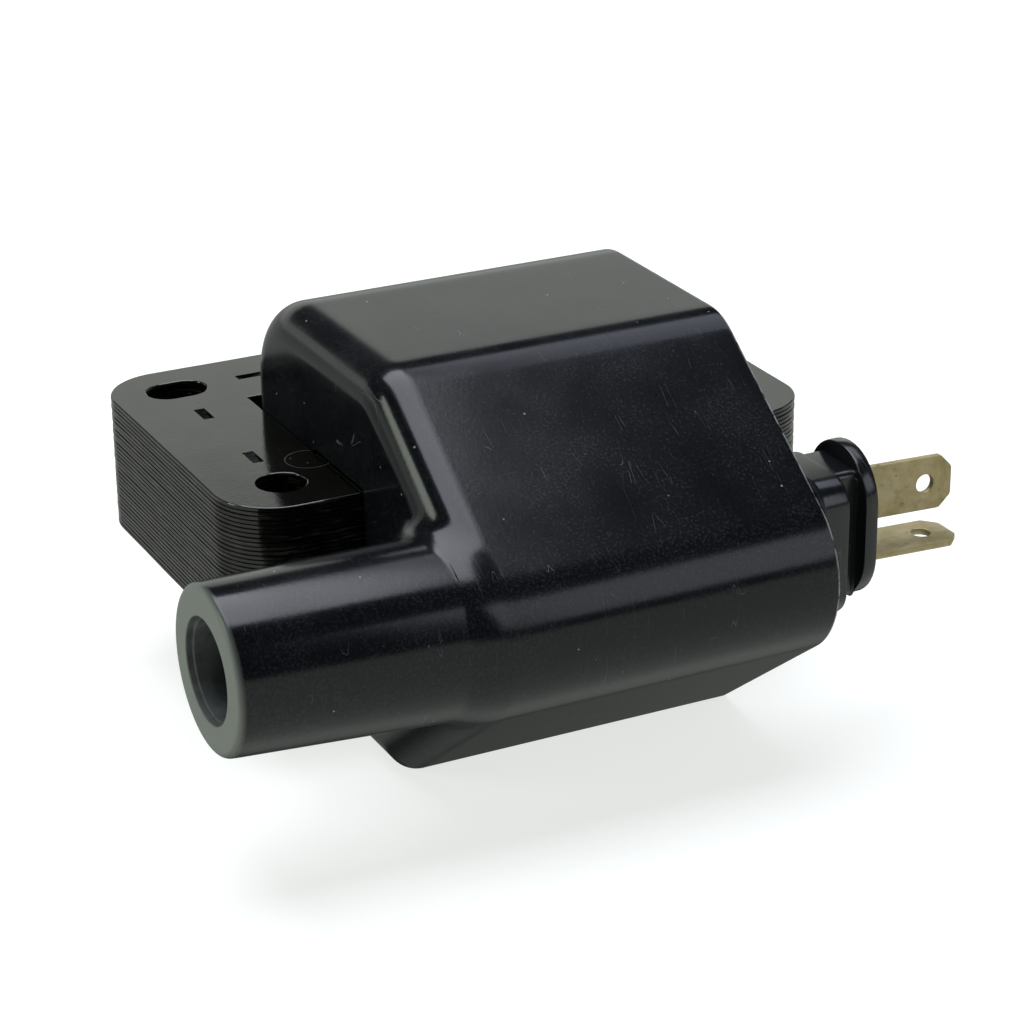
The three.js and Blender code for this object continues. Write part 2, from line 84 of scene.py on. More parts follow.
def length(name, description, mm, lowest=0):
    """A length property whose default and lowest value are given in millimetres."""
    return bpy.props.FloatProperty(
        name=name, description=description, default=mm * MM, unit="LENGTH", min=lowest * MM
    )


def angle(name, description, degrees):
    """An angle property whose default is given in degrees."""
    return bpy.props.FloatProperty(
        name=name, description=description, default=math.radians(degrees), unit="ROTATION"
    )


def linear(code):
    """The linear colour of an sRGB hex code, by the sRGB curve."""
    parts = [int(code[i : i + 2], 16) / 255 for i in (1, 3, 5)]
    return tuple(c / 12.92 if c <= 0.04045 else ((c + 0.055) / 1.055) ** 2.4 for c in parts)


def colour(name, description, code):
    """A colour property whose default is an sRGB hex code."""
    return bpy.props.FloatVectorProperty(
        name=name, description=description, default=linear(code), size=3, subtype="COLOR",
        min=0, max=1,
    )


class CoilBody(bpy.types.PropertyGroup):
    """The moulded case and its poured end."""

    left: length("Left face", "Place of the case's left face along X", 14.45)
    back: length("Back face", "Place of the case's back along Y", 31.8)
    nose_y: length("Nose along Y", "Centre of the rounded front edge", -18.29, lowest=-50)
    nose_z: length("Nose along Z", "Centre of the rounded front edge", 6.56)
    nose_radius: length("Nose radius", "Radius of the rounded front edge", 10.17)
    upper_slope: angle("Upper slope", "Fall of the front above the nose", 35.5)
    lower_slope: angle("Lower slope", "Rise of the front below the nose", 37)
    top_radius: length("Top front radius", "Rounding between the top and the slope", 7.8)
    back_radius: length("Back radius", "Rounding of the two back edges", 10.8)
    end_radius: length("End rounding", "Rounding of the left end", 4.2)
    wall: length("Wall", "Thickness of the case", 2)
    root_radius: length("Tower root", "Hollow rounding where the tower leaves the case", 2)
    meniscus: length("Meniscus", "How far the poured compound climbs at its edges", 0.45)
    resin: colour("Resin", "Colour of the moulded thermoset", "#0a0b0f")
    compound: colour("Compound", "Colour of the poured epoxy", "#17191b")


class CoilTower(bpy.types.PropertyGroup):
    """The high-tension tower and its terminal."""

    axis_y: length("Axis along Y", "Place of the tower's axis", -18, lowest=-50)
    axis_z: length("Axis along Z", "Height of the tower's axis at its tip", 8.12)
    fall: bpy.props.FloatProperty(
        name="Fall", description="Fall of the axis for each unit to the right", default=0.034
    )
    tip_radius: length("Tip radius", "Outer radius at the tip", 9.1)
    root_outer: length("Root radius", "Outer radius where the tower meets the case", 9.85)
    edge: length("Rim rounding", "Rounding of the rim's outer edge", 0.8)
    bore: length("Bore radius", "Radius of the socket", 5.65)
    bore_bottom: length("Bottom radius", "Radius at the socket's bottom", 5.3)
    depth: length("Depth", "Depth of the socket", 24)
    mouth: length("Mouth", "Depth of the step at the socket's mouth", 0.7)
    stem: length("Stem hole", "Radius of the hole behind the socket", 1.8)


class CoilCore(bpy.types.PropertyGroup):
    """The laminated steel frame."""

    plates: bpy.props.IntProperty(
        name="Laminations", description="Number of stamped plates", default=31, min=2
    )
    groove: length("Groove", "Depth of the joint between two plates", 0.15)
    unevenness: length("Unevenness", "How far single plates stand back", 0.04)
    yoke: length("Yoke width", "Width of the left and right sides", 14.4)
    back_leg: length("Back leg width", "Width of the back side", 12.8)
    corner: length("Corner radius", "Outer corners of the plates", 7.1)
    hole_x: length("Hole inset", "Distance of the holes from each end", 7.9)
    hole_y: length("Hole along Y", "Place of the round holes", 6.8)
    hole_radius: length("Hole radius", "Radius of the round holes", 2.75)
    slot_y: length("Slot along Y", "Place of the slots", 38.7)
    slot_length: length("Slot length", "Length of the slots", 7.2)
    slot_width: length("Slot width", "Width of the slots", 5)
    stamp_length: length("Stamp length", "Length of a stamped interlock", 3.4)
    stamp_width: length("Stamp width", "Width of a stamped interlock", 1.3)
    stamp_depth: length("Stamp depth", "Depth of a stamped interlock", 0.55)
    lacquer: colour("Lacquer", "Colour of the lacquered steel", "#0c0b09")


class CoilTerminals(bpy.types.PropertyGroup):
    """The terminal block and the two blades."""

    middle: length("Middle", "Place of the block's middle along Y", -18.34, lowest=-50)
    blade_width: length("Blade width", "Width of a blade", 6.35)
    blade_thickness: length("Blade thickness", "Thickness of a blade", 0.8)
    chamfer: length("Tip chamfer", "Cut corners of a blade's tip", 1.5)
    hole_inset: length("Hole inset", "Distance of the blade's hole from its tip", 3.5)
    hole_radius: length("Hole radius", "Radius of the blade's hole", 1.1)
    upper_z: length("Upper blade", "Height of the upper blade's middle", 12.3)
    lower_z: length("Lower blade", "Height of the lower blade's middle", 5.9)
    nylon: colour("Nylon", "Colour of the terminal block", "#0e1012")
    brass: colour("Brass", "Colour of the tarnished brass", "#a99b78")


class CoilStage(bpy.types.PropertyGroup):
    """Camera, floor and lights."""

    place: bpy.props.FloatVectorProperty(
        name="Camera", description="Camera's place from the steel's lower left front corner",
        default=(-0.10546, -0.27816, 0.14293), size=3, subtype="TRANSLATION", unit="LENGTH",
    )
    azimuth: angle("Azimuth", "Direction that the camera stands in", -26.37)
    elevation: angle("Elevation", "Camera's angle above the horizon", 23.17)
    roll: angle("Roll", "Camera's turn about its own line of sight", -0.57)
    lens: bpy.props.FloatProperty(
        name="Lens", description="Focal length", default=107.12, unit="CAMERA"
    )
    floor: colour("Floor", "Colour of the studio floor", "#a8a8a8")


GROUPS = {
    "coil_body": CoilBody,
    "coil_tower": CoilTower,
    "coil_core": CoilCore,
    "coil_terminals": CoilTerminals,
    "coil_stage": CoilStage,
}


def mm(settings):
    """A settings group as a plain object whose lengths are in millimetres."""
    plain = SimpleNamespace()
    for name in type(settings).__annotations__:
        prop, value = settings.bl_rna.properties[name], getattr(settings, name)
        is_length = prop.type == "FLOAT" and prop.unit == "LENGTH"
        setattr(plain, name, value / MM if is_length else value)
    return plain


# ---------------------------------------------------------------- mesh helpers

SHARP = 32  # degrees: two faces that meet at more than this keep a crisp edge between them


def place(points):
    """Points in the coil's own millimetres as points in the packed part's metres."""
    return ZERO + np.asarray(points, float) * MM


def grid_faces(rows, columns, close_rows=False, close_columns=False, first=0, flip=False):
    """Quads over a grid of rows by columns whose vertices are numbered row by row."""
    r = np.arange(rows if close_rows else rows - 1)[:, None]
    c = np.arange(columns if close_columns else columns - 1)[None, :]
    next_r, next_c = (r + 1) % rows, (c + 1) % columns
    here, above = r * columns, next_r * columns
    corners = (here + c, above + c, above + next_c, here + next_c)
    quads = np.stack(np.broadcast_arrays(*corners), axis=-1).reshape(-1, 4) + first
    return quads[:, ::-1] if flip else quads


def new_piece(name, parts, material, replaced=(), sharp=SHARP):
    """One mesh object from a list of (vertices in mm, faces). Faces are numbered within a part."""
    vertices, faces, count = [], [], 0
    for points, part_faces in parts:
        vertices.append(np.asarray(points, float).reshape(-1, 3))
        for group in part_faces if isinstance(part_faces, list) else [part_faces]:
            faces.extend((np.asarray(group) + count).tolist())
        count += len(vertices[-1])
    mesh = bpy.data.meshes.new(name)
    mesh.from_pydata(place(np.concatenate(vertices)), [], faces)
    mesh.validate()
    mesh.shade_smooth()
    mesh.set_sharp_from_angle(angle=math.radians(sharp))
    piece = bpy.data.objects.new(name, mesh)
    bpy.context.scene.collection.objects.link(piece)
    piece.data.materials.append(material)
    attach(piece, "root")
    if replaced:
        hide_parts(*replaced)
    return piece


def at_x(x, outline):
    """An outline in Y and Z as points at x, which is one number or one for each point."""
    return np.column_stack([np.broadcast_to(x, len(outline)), outline])


def arc(centre, radius, start, end, count):
    """Points on an arc: centre plus radius times (cos, sin) of evenly spaced degrees."""
    turn = np.radians(np.linspace(start, end, count))
    return np.asarray(centre) + radius * np.stack([np.cos(turn), np.sin(turn)], axis=-1)


def spaced(loop, spacing):
    """A closed loop with its long sides cut into steps of at most the spacing."""
    loop = np.asarray(loop, float)
    ends = np.roll(loop, -1, axis=0)
    steps = np.maximum(1, np.ceil(np.linalg.norm(ends - loop, axis=1) / spacing).astype(int))
    index = np.repeat(np.arange(len(loop)), steps)
    share = (np.arange(len(index)) - np.repeat(np.cumsum(steps) - steps, steps)) / steps[index]
    return loop[index] + (ends - loop)[index] * share[:, None]


def inward(loop):
    """Unit vectors square to a loop at each point, to the left of its direction: into the
    material for an outline drawn anticlockwise or a hole drawn clockwise."""
    along = np.roll(loop, -1, axis=0) - loop
    along /= np.maximum(np.linalg.norm(along, axis=1, keepdims=True), 1e-9)
    both = along + np.roll(along, 1, axis=0)
    size = np.linalg.norm(both, axis=1, keepdims=True)
    both = np.where(size > 1e-6, both / np.maximum(size, 1e-6), along)
    mitre = 1 / np.maximum(np.sum(both * along, axis=1, keepdims=True), 0.5)
    return np.stack([-both[:, 1], both[:, 0]], axis=1) * mitre


def rounded_rectangle(middle, half, radius, corner_steps=8):
    """An anticlockwise rectangle with round corners, by its middle and half sizes."""
    (cx, cy), (hx, hy) = middle, half
    corners = [(1, 1, 0), (-1, 1, 90), (-1, -1, 180), (1, -1, 270)]
    parts = [
        arc((cx + sx * (hx - radius), cy + sy * (hy - radius)), radius, a, a + 90, corner_steps)
        for sx, sy, a in corners
    ]
    return np.concatenate(parts)


def circle(middle, radius, count=40):
    """A clockwise circle, as the outline of a hole."""
    return arc(middle, radius, 360, 360 / count, count)


def inside(points, loop):
    """Which points lie inside a loop, by the number of its sides that a ray to +X crosses."""
    x, y = points[:, :1], points[:, 1:]
    a, b = loop, np.roll(loop, -1, axis=0)
    spans = (a[:, 1] > y) != (b[:, 1] > y)
    rise = np.where(np.abs(b[:, 1] - a[:, 1]) < 1e-12, 1e-12, b[:, 1] - a[:, 1])
    crossing = a[:, 0] + (y - a[:, 1]) * (b[:, 0] - a[:, 0]) / rise
    return np.sum(spans & (x < crossing), axis=1) % 2 == 1


def cap(loops, height, up):
    """A flat face with holes: the loops are joined by triangles, and those whose middle lies
    outside the first loop or inside another are left out."""
    points = np.concatenate(loops)
    edges, first = [], 0
    for loop in loops:
        index = np.arange(len(loop))
        edges.extend((np.stack([index, (index + 1) % len(loop)], axis=1) + first).tolist())
        first += len(loop)
    vertices = [Vector(p) for p in points.tolist()]
    found, _, triangles, _, _, _ = delaunay_2d_cdt(vertices, edges, [], 1, 1e-7)
    found, triangles = np.array(found), np.array(triangles)
    corners = found[triangles]
    middle = corners.mean(axis=1)
    keep = inside(middle, loops[0])
    for loop in loops[1:]:
        keep &= ~inside(middle, loop)
    triangles, corners = triangles[keep], corners[keep]
    side_a, side_b = corners[:, 1] - corners[:, 0], corners[:, 2] - corners[:, 0]
    turned = (side_a[:, 0] * side_b[:, 1] - side_a[:, 1] * side_b[:, 0] > 0) != up
    triangles[turned] = triangles[turned][:, ::-1]
    return np.column_stack([found, np.full(len(found), height)]), triangles


def stack(outline, holes, levels, wander=None, pockets=()):
    """A closed plate or pack of plates. Every loop is carried up through the levels, each an
    (inset, height) pair, moved into the material by its inset, and the two ends are capped.
    wander(points, level) may add a further inset. Pockets are extra holes in the top cap."""
    levels = np.asarray(levels, float)
    parts, low, high = [], [], []
    for loop in [outline, *holes]:
        normal = inward(loop)
        points = loop[None] + normal[None] * levels[:, :1, None]
        if wander is not None:
            points = points + normal[None] * wander(loop, len(levels))[:, :, None]
        heights = np.broadcast_to(levels[:, 1:2, None], (*points.shape[:2], 1))
        rows = np.concatenate([points, heights], axis=2)
        parts.append((rows, grid_faces(len(levels), len(loop), close_columns=True, flip=True)))
        low.append(points[0])
        high.append(points[-1])
    parts.append(cap(low, levels[0, 1], up=False))
    parts.append(cap([*high, *pockets], levels[-1, 1], up=True))
    return parts


def swept_axes(parts, axes, shift=(0, 0, 0)):
    """Parts with their (u, v, w) turned to the given order of axes, and moved."""
    turned = []
    for points, faces in parts:
        points = np.asarray(points, float).reshape(-1, 3)[:, list(axes)] + np.asarray(shift)
        turned.append((points, faces))
    return turned


# ---------------------------------------------------------------- materials


def add_node(tree, kind, links=None, out=0, **settings):
    """Adds one shader node and gives back one of its outputs. Settings are the node's own
    fields; links give its inputs a value or a socket."""
    node = tree.nodes.new("ShaderNode" + kind)
    for field, value in settings.items():
        setattr(node, field, value)
    for key, value in (links or {}).items():
        if isinstance(value, bpy.types.NodeSocket):
            tree.links.new(value, node.inputs[key])
        else:
            node.inputs[key].default_value = value
    return node.outputs[out] if node.outputs else None


def new_material(name):
    """An empty node material, what adds a node to it, and the object's coordinates."""
    material = bpy.data.materials.new(name)
    material.use_nodes = True
    material.node_tree.nodes.clear()
    add = partial(add_node, material.node_tree)
    return material, add, add("TexCoord", out="Object")


def finished(material, add, inputs):
    """Gives a material its shader, by the shader's inputs, and its output."""
    add("OutputMaterial", {"Surface": add("BsdfPrincipled", inputs)})
    return material


def per_metre(size_mm):
    """A texture's scale for a pattern whose cells are this many millimetres across."""
    return 1 / (size_mm * MM)


def rgba(tone, share=1.0):
    """A linear colour or a hex code with alpha, made lighter or darker by a share."""
    return (*[min(1.0, c * share) for c in (linear(tone) if isinstance(tone, str) else tone)], 1.0)


def layered(add, base, *layers):
    """A base colour with others laid over it in turn, each a (share, colour) pair."""
    for share, over in layers:
        base = add("Mix", {0: share, 6: base, 7: over}, out=2, data_type="RGBA")
    return base


def speck_mask(add, where, size_mm, radius, chance):
    """White spots: distance to a cell's point under the radius, in cells picked by chance."""
    distance = add("TexVoronoi", {"Vector": where, "Scale": per_metre(size_mm)})
    near = add("MapRange", {"Value": distance, "From Min": radius, "From Max": radius * 0.55})
    pick = add("SeparateColor", {"Color": distance.node.outputs["Color"]})
    chosen = add("Math", {0: pick, 1: 1 - chance}, operation="GREATER_THAN")
    return add("Math", {0: near, 1: chosen}, operation="MULTIPLY")


def scratch_mask(add, where, turn, size_mm, width, chance):
    """Fine lines: space is turned and squeezed along one way, so that a thin band of a
    stretched noise, in patches picked by a second noise, reads as separate scratches."""
    turned = add("Mapping", {"Vector": where, "Rotation": turn, "Scale": (1.0, 0.09, 0.09)})
    bent = add("TexNoise", {"Vector": turned, "Scale": per_metre(size_mm), "Detail": 1.0})
    offset = add("Math", {0: bent, 1: 0.5}, operation="SUBTRACT")
    distance = add("Math", {0: offset}, operation="ABSOLUTE")
    line = add("MapRange", {"Value": distance, "From Min": width, "From Max": width * 0.3})
    patches = add("TexNoise", {"Vector": where, "Scale": per_metre(size_mm * 2.2), "Detail": 1.0})
    shown = add("MapRange", {"Value": patches, "From Min": 1 - chance, "From Max": 1.05 - chance})
    return add("Math", {0: line, 1: shown}, operation="MULTIPLY")


def moulded_thermoset(body):
    """Black thermoset from a polished mould, handled and dusty. The eye gets a deep blue-black
    whose reflections are softened by orange peel half a millimetre across and slow flow marks,
    under hairline scratches, a haze of grey dust with a few larger specks, a pale torn edge
    where the flash was trimmed, and a chalky grey rim on the tower, partly rubbed and partly a
    painted reflection of the floor."""
    material, add, where = new_material("moulded_thermoset")
    peel = add("TexNoise", {"Vector": where, "Scale": per_metre(0.45), "Detail": 3.0})
    flow = add("TexNoise", {"Vector": where, "Scale": per_metre(9.0), "Detail": 2.0})
    specks = speck_mask(add, where, size_mm=1.9, radius=0.075, chance=0.16)
    motes = speck_mask(add, where, size_mm=0.8, radius=0.11, chance=0.10)
    hairs = scratch_mask(add, where, (0.4, 0.9, 0.3), size_mm=1.6, width=0.0022, chance=0.40)
    strokes = scratch_mask(add, where, (1.2, -0.5, 1.1), size_mm=2.6, width=0.0016, chance=0.38)
    marks = add("Math", {0: hairs, 1: strokes}, operation="MAXIMUM")
    # Dust lies as a haze of grains 0.3 mm across, thicker in some patches.
    grains = add("TexNoise", {"Vector": where, "Scale": per_metre(0.3), "Detail": 3.0})
    sifted = add("MapRange", {"Value": grains, "From Min": 0.45, "From Max": 0.75, "To Max": 0.07})
    patchy = add("Math", {0: sifted, 1: flow}, operation="MULTIPLY")
    haze = add("Math", {0: motes, 1: 0.12, 2: patchy}, operation="MULTIPLY_ADD")
    bright = add("Math", {0: specks, 1: 0.55}, operation="MULTIPLY")
    lined = add("Math", {0: marks, 1: 0.16}, operation="MULTIPLY")
    edge = add("Attribute", out="Fac", attribute_name="trimmed_edge")
    ragged = add("TexNoise", {"Vector": where, "Scale": per_metre(1.4), "Detail": 4.0})
    torn = add("MapRange", {"Value": ragged, "From Min": 0.36, "From Max": 0.5})
    flash = add("Math", {0: edge, 1: torn}, operation="MULTIPLY")
    # The tower's rim is painted a chalky grey, partly rubbed and partly a painted reflection of the
    # floor, and the socket's wall is dark and dusty.
    rim = add("Attribute", out="Fac", attribute_name="rim_wear_and_reflection")
    chalk_and_reflection = add("Math", {0: rim, 1: 0.8}, operation="MULTIPLY")
    socket = add("Attribute", out="Fac", attribute_name="socket_wall")
    soot = add("TexNoise", {"Vector": where, "Scale": per_metre(2.2), "Detail": 5.0})
    dirt = layered(add, rgba("#060607"), (soot, rgba("#6a6e6c")))
    skin_colour = layered(
        add, rgba(body.resin, 0.8), (flow, rgba(body.resin, 1.25)), (haze, rgba("#8f9494")),
        (bright, rgba("#aeb3b2")), (lined, rgba("#9a9ea0")), (flash, rgba("#8d918e")),
        (chalk_and_reflection, rgba("#7c8279")), (socket, dirt),
    )
    blur = {"From Min": 0.3, "From Max": 0.7, "To Min": 0.15, "To Max": 0.2}
    rough = add("MapRange", {"Value": flow, **blur})
    for worn, more in ((marks, 0.12), (rim, 0.25), (socket, 0.45)):
        rough = add("Math", {0: worn, 1: more, 2: rough}, operation="MULTIPLY_ADD")
    waves = add("Bump", {"Height": flow, "Strength": 0.2, "Distance": 0.05 * MM})
    skin = {"Height": peel, "Strength": 0.35, "Distance": 0.012 * MM, "Normal": waves}
    return finished(material, add, {
        "Base Color": skin_colour, "Roughness": rough, "Normal": add("Bump", skin),
        "IOR": 1.37,  # the resin's 1.53, dulled by a film of dust
    })


def poured_epoxy(body):
    """Cast epoxy that set in the open. Its skin is duller than the mould's, gently uneven over
    a few millimetres, with craters of burst bubbles half a millimetre across."""
    material, add, where = new_material("poured_epoxy")
    swell = add("TexNoise", {"Vector": where, "Scale": per_metre(4.0), "Detail": 3.0})
    bubbles = speck_mask(add, where, size_mm=2.4, radius=0.14, chance=0.3)
    # The bubbles' craters are painted darker than the compound: painted shade in the pits.
    skin_colour = layered(
        add, rgba(body.compound, 0.7), (swell, rgba(body.compound, 1.5)),
        (bubbles, rgba(body.compound, 0.3)),
    )
    dip = add("Math", {0: bubbles, 1: -1.0}, operation="MULTIPLY")
    pits = add("Bump", {"Height": dip, "Strength": 0.8, "Distance": 0.15 * MM})
    skin = {"Height": swell, "Strength": 0.6, "Distance": 0.2 * MM, "Normal": pits}
    return finished(material, add, {
        "Base Color": skin_colour, "Roughness": 0.36, "IOR": 1.55, "Normal": add("Bump", skin),
    })


def lacquered_steel(core):
    """Stamped silicon steel dipped in a thin dark lacquer. The eye gets a smooth, shiny,
    greenish black film with dust nibs and pinholes, grey streaks on some plate edges that are
    partly worn-through lacquer and partly painted glints, and a scratched ring on the left yoke."""
    material, add, where = new_material("lacquered_steel")
    cloud = add("TexNoise", {"Vector": where, "Scale": per_metre(7.0), "Detail": 4.0})
    grain = add("TexNoise", {"Vector": where, "Scale": per_metre(0.35), "Detail": 3.0})
    pits = speck_mask(add, where, size_mm=1.3, radius=0.12, chance=0.16)
    nibs = speck_mask(add, where, size_mm=2.9, radius=0.05, chance=0.25)
    # Grey streaks along the plates' edges: partly lacquer worn through, partly painted glints of
    # light.
    plates = add("Mapping", {"Vector": where, "Scale": (1.0, 1.0, 7.0)})
    streak = add("TexNoise", {"Vector": plates, "Scale": per_metre(3.2), "Detail": 4.0})
    worn = add("MapRange", {"Value": streak, "From Min": 0.5, "From Max": 0.8, "To Max": 0.22})
    side = add("Attribute", out="Fac", attribute_name="plate_edge")
    wear_and_sheen = add("Math", {0: worn, 1: side}, operation="MULTIPLY")
    # A ring scratched by something round that once stood on the left yoke.
    middle, radius, foot, crest = (13.1, 11.6, CORE_TOP), 2.6, 0.055, 0.02
    apart = add("VectorMath", {0: where, 1: tuple(place(middle))}, operation="SUBTRACT")
    away = add("VectorMath", {0: apart}, out="Value", operation="LENGTH")
    off = add("Math", {0: away, 1: radius * MM}, operation="SUBTRACT")
    near = add("Math", {0: off}, operation="ABSOLUTE")
    line = add("MapRange", {"Value": near, "From Min": foot * MM, "From Max": crest * MM})
    faint = add("Math", {0: line, 1: cloud}, operation="MULTIPLY")
    film_colour = layered(
        add, rgba(core.lacquer, 0.55), (cloud, rgba(core.lacquer, 1.1)), (pits, rgba("#0b0b0a")),
        (nibs, rgba("#8e908a")), (wear_and_sheen, rgba("#6f706a")), (faint, rgba("#6b675d")),
    )
    blur = {"From Min": 0.3, "From Max": 0.7, "To Min": 0.09, "To Max": 0.14}
    hollow = add("Math", {0: pits, 1: -1.0}, operation="MULTIPLY")
    pock = add("Bump", {"Height": hollow, "Strength": 0.7, "Distance": 0.05 * MM})
    skin = {"Height": grain, "Strength": 0.35, "Distance": 0.02 * MM, "Normal": pock}
    return finished(material, add, {
        "Base Color": film_colour, "Metallic": 0.0, "IOR": 1.5, "Normal": add("Bump", skin),
        "Roughness": add("MapRange", {"Value": cloud, **blur}),
    })


def moulded_nylon(terminals):
    """Injection-moulded nylon. A satin skin copied from a sparked mould, with grain under a
    fifth of a millimetre and faint scuffs."""
    material, add, where = new_material("moulded_nylon")
    spark = add("TexNoise", {"Vector": where, "Scale": per_metre(0.18), "Detail": 2.0})
    tone = add("TexNoise", {"Vector": where, "Scale": per_metre(3.0), "Detail": 3.0})
    scuffs = scratch_mask(add, where, (0.2, 1.2, 0.6), size_mm=1.2, width=0.010, chance=0.45)
    dust = speck_mask(add, where, size_mm=1.6, radius=0.07, chance=0.2)
    faint = add("Math", {0: scuffs, 1: 0.12}, operation="MULTIPLY")
    skin_colour = layered(
        add, rgba(terminals.nylon, 0.7), (tone, rgba(terminals.nylon, 1.4)),
        (faint, rgba("#7d8082")), (dust, rgba("#70736f")),
    )
    skin = add("Bump", {"Height": spark, "Strength": 0.4, "Distance": 0.015 * MM})
    return finished(material, add, {
        "Base Color": skin_colour, "Roughness": 0.2, "IOR": 1.5, "Normal": skin,
    })


def tarnished_brass(terminals):
    """Rolled and stamped brass that has dulled. Rolling leaves a faint grain along the blade,
    and handling an olive to brown tarnish in clouds a few millimetres across with dark spots."""
    material, add, where = new_material("tarnished_brass")
    along = add("Mapping", {"Vector": where, "Scale": (0.12, 1.0, 1.0)})
    grain = add("TexNoise", {"Vector": along, "Scale": per_metre(0.14), "Detail": 3.0})
    fine = {"Vector": where, "Scale": per_metre(2.6), "Detail": 6.0, "Roughness": 0.65}
    cloud = add("TexNoise", fine)
    finer = {"Vector": where, "Scale": per_metre(1.1), "Detail": 5.0, "Roughness": 0.7}
    stain = add("TexNoise", finer)
    olive = add("MapRange", {"Value": cloud, "From Min": 0.42, "From Max": 0.66, "To Max": 0.85})
    dark = add("MapRange", {"Value": stain, "From Min": 0.57, "From Max": 0.74, "To Max": 0.7})
    spots = speck_mask(add, where, size_mm=1.2, radius=0.10, chance=0.25)
    metal_colour = layered(
        add, rgba(terminals.brass), (olive, rgba("#8f8350")), (dark, rgba("#5b5236")),
        (spots, rgba("#3c3626")),
    )
    blur = {"From Min": 0.3, "From Max": 0.7, "To Min": 0.42, "To Max": 0.62}
    skin = add("Bump", {"Height": grain, "Strength": 0.3, "Distance": 0.012 * MM})
    return finished(material, add, {
        "Base Color": metal_colour, "Metallic": 0.55, "Normal": skin,
        "Roughness": add("MapRange", {"Value": stain, **blur}),
    })


def enamelled_copper():
    """Copper wire under polyester-imide enamel, wound in layers. The turns, 0.2 mm apart and
    drawn at 0.3 mm so that they show, run round the bar, so they band along X."""
    material, add, where = new_material("enamelled_copper")
    bands = per_metre(0.3) / (2 * math.pi) * 0.5
    turns = add(
        "TexWave", {"Vector": where, "Scale": bands, "Distortion": 0.4, "Detail": 1.0},
        out="Fac", wave_type="BANDS", bands_direction="X",
    )
    tone = add("TexNoise", {"Vector": where, "Scale": per_metre(2.0), "Detail": 3.0})
    ridge = add("Bump", {"Height": turns, "Strength": 0.7, "Distance": 0.08 * MM})
    return finished(material, add, {
        "Base Color": layered(add, rgba("#8a3f1d"), (tone, rgba("#c06a3a"))),
        "Metallic": 1.0, "Roughness": 0.3, "Normal": ridge,
    })


def glass_filled_spool():
    """Natural glass-filled polyester, moulded. Ivory and slightly mottled, with the matt skin
    that short fibres half a millimetre long leave."""
    material, add, where = new_material("glass_filled_spool")
    fibres = add("TexNoise", {"Vector": where, "Scale": per_metre(0.5), "Detail": 4.0})
    return finished(material, add, {
        "Base Color": layered(add, rgba("#cfc6ac"), (fibres, rgba("#e6dfca"))), "Roughness": 0.55,
        "Normal": add("Bump", {"Height": fibres, "Strength": 0.4, "Distance": 0.02 * MM}),
    })


def pressed_paper():
    """Pressed insulating paper. Tan, with fibres a millimetre long that mottle it and leave a
    dull, slightly hairy skin."""
    material, add, where = new_material("pressed_paper")
    matted = {"Vector": where, "Scale": per_metre(1.0), "Detail": 6.0, "Roughness": 0.7}
    fibres = add("TexNoise", matted)
    return finished(material, add, {
        "Base Color": layered(add, rgba("#a98a58"), (fibres, rgba("#d6bf92"))), "Roughness": 0.85,
        "Normal": add("Bump", {"Height": fibres, "Strength": 0.5, "Distance": 0.04 * MM}),
    })


# ---------------------------------------------------------------- the case and the compound


def body_section(body, inset, spacing=0.9):
    """The body's outline in Y and Z, drawn inside its outer surface by each inset: four arcs
    joined by straight lines that touch them, closed by the sharp edge between the bottom and
    the lower slope. Returns (insets, points, 2)."""
    inset = np.concatenate([[0.0], np.atleast_1d(np.asarray(inset, float))])[:, None]
    top, bottom = SHELL_HIGH[2], SHELL_LOW[2]
    up, low = body.upper_slope, body.lower_slope
    rise = (top - body.top_radius - body.nose_z) * math.cos(up)
    across = (body.top_radius - body.nose_radius + rise) / math.sin(up)
    drop = (body.nose_z - bottom - inset) * math.cos(low)
    front = body.nose_y + (drop - body.nose_radius + inset) / math.sin(low)
    back = body.back - body.back_radius
    up_deg, low_deg = math.degrees(up), math.degrees(low)
    arcs = [
        (back, bottom + body.back_radius, body.back_radius, -90, 0),
        (back, top - body.back_radius, body.back_radius, 0, 90),
        (body.nose_y + across, top - body.top_radius, body.top_radius, 90, 90 + up_deg),
        (body.nose_y, body.nose_z, body.nose_radius, 90 + up_deg, 270 - low_deg),
    ]
    corner = np.stack([front, bottom + inset], axis=-1)
    curves = [corner]
    for y, z, radius, start, end in arcs:
        count = max(6, int(radius * math.radians(end - start) / (spacing * 0.55)))
        ring = arc((0, 0), 1.0, start, end, count)
        curves.append(np.array([y, z]) + (radius - inset[:, :, None]) * ring[None])
    pieces = []
    for curve, following in zip(curves, curves[1:] + curves[:1]):
        first, last = curve[:, -1:], following[:, :1]
        steps = max(2, int(np.linalg.norm((last - first)[0]) / spacing))
        share = (np.arange(1, steps) / steps)[None, :, None]
        pieces += [curve, first + (last - first) * share]
    return np.concatenate(pieces, axis=1)[1:]


def tower_centre(tower, x):
    """The tower's axis at x, in Y and Z: it falls evenly from its tip to the right."""
    x = np.asarray(x, float)
    fallen = tower.axis_z - tower.fall * (x - SHELL_LOW[0])
    return np.stack([np.broadcast_to(tower.axis_y, x.shape), fallen], axis=-1)


def tower_radius(body, tower, x):
    """The tower's outer radius at x: a straight cone from the tip to the case. Behind the left
    face it shrinks by the square of the distance, so that it leaves the case's skin."""
    share = (x - SHELL_LOW[0]) / (body.left - SHELL_LOW[0])
    behind = np.maximum(np.asarray(x, float) - body.left, 0)
    return tower.tip_radius + (tower.root_outer - tower.tip_radius) * share - 0.1 * behind**2


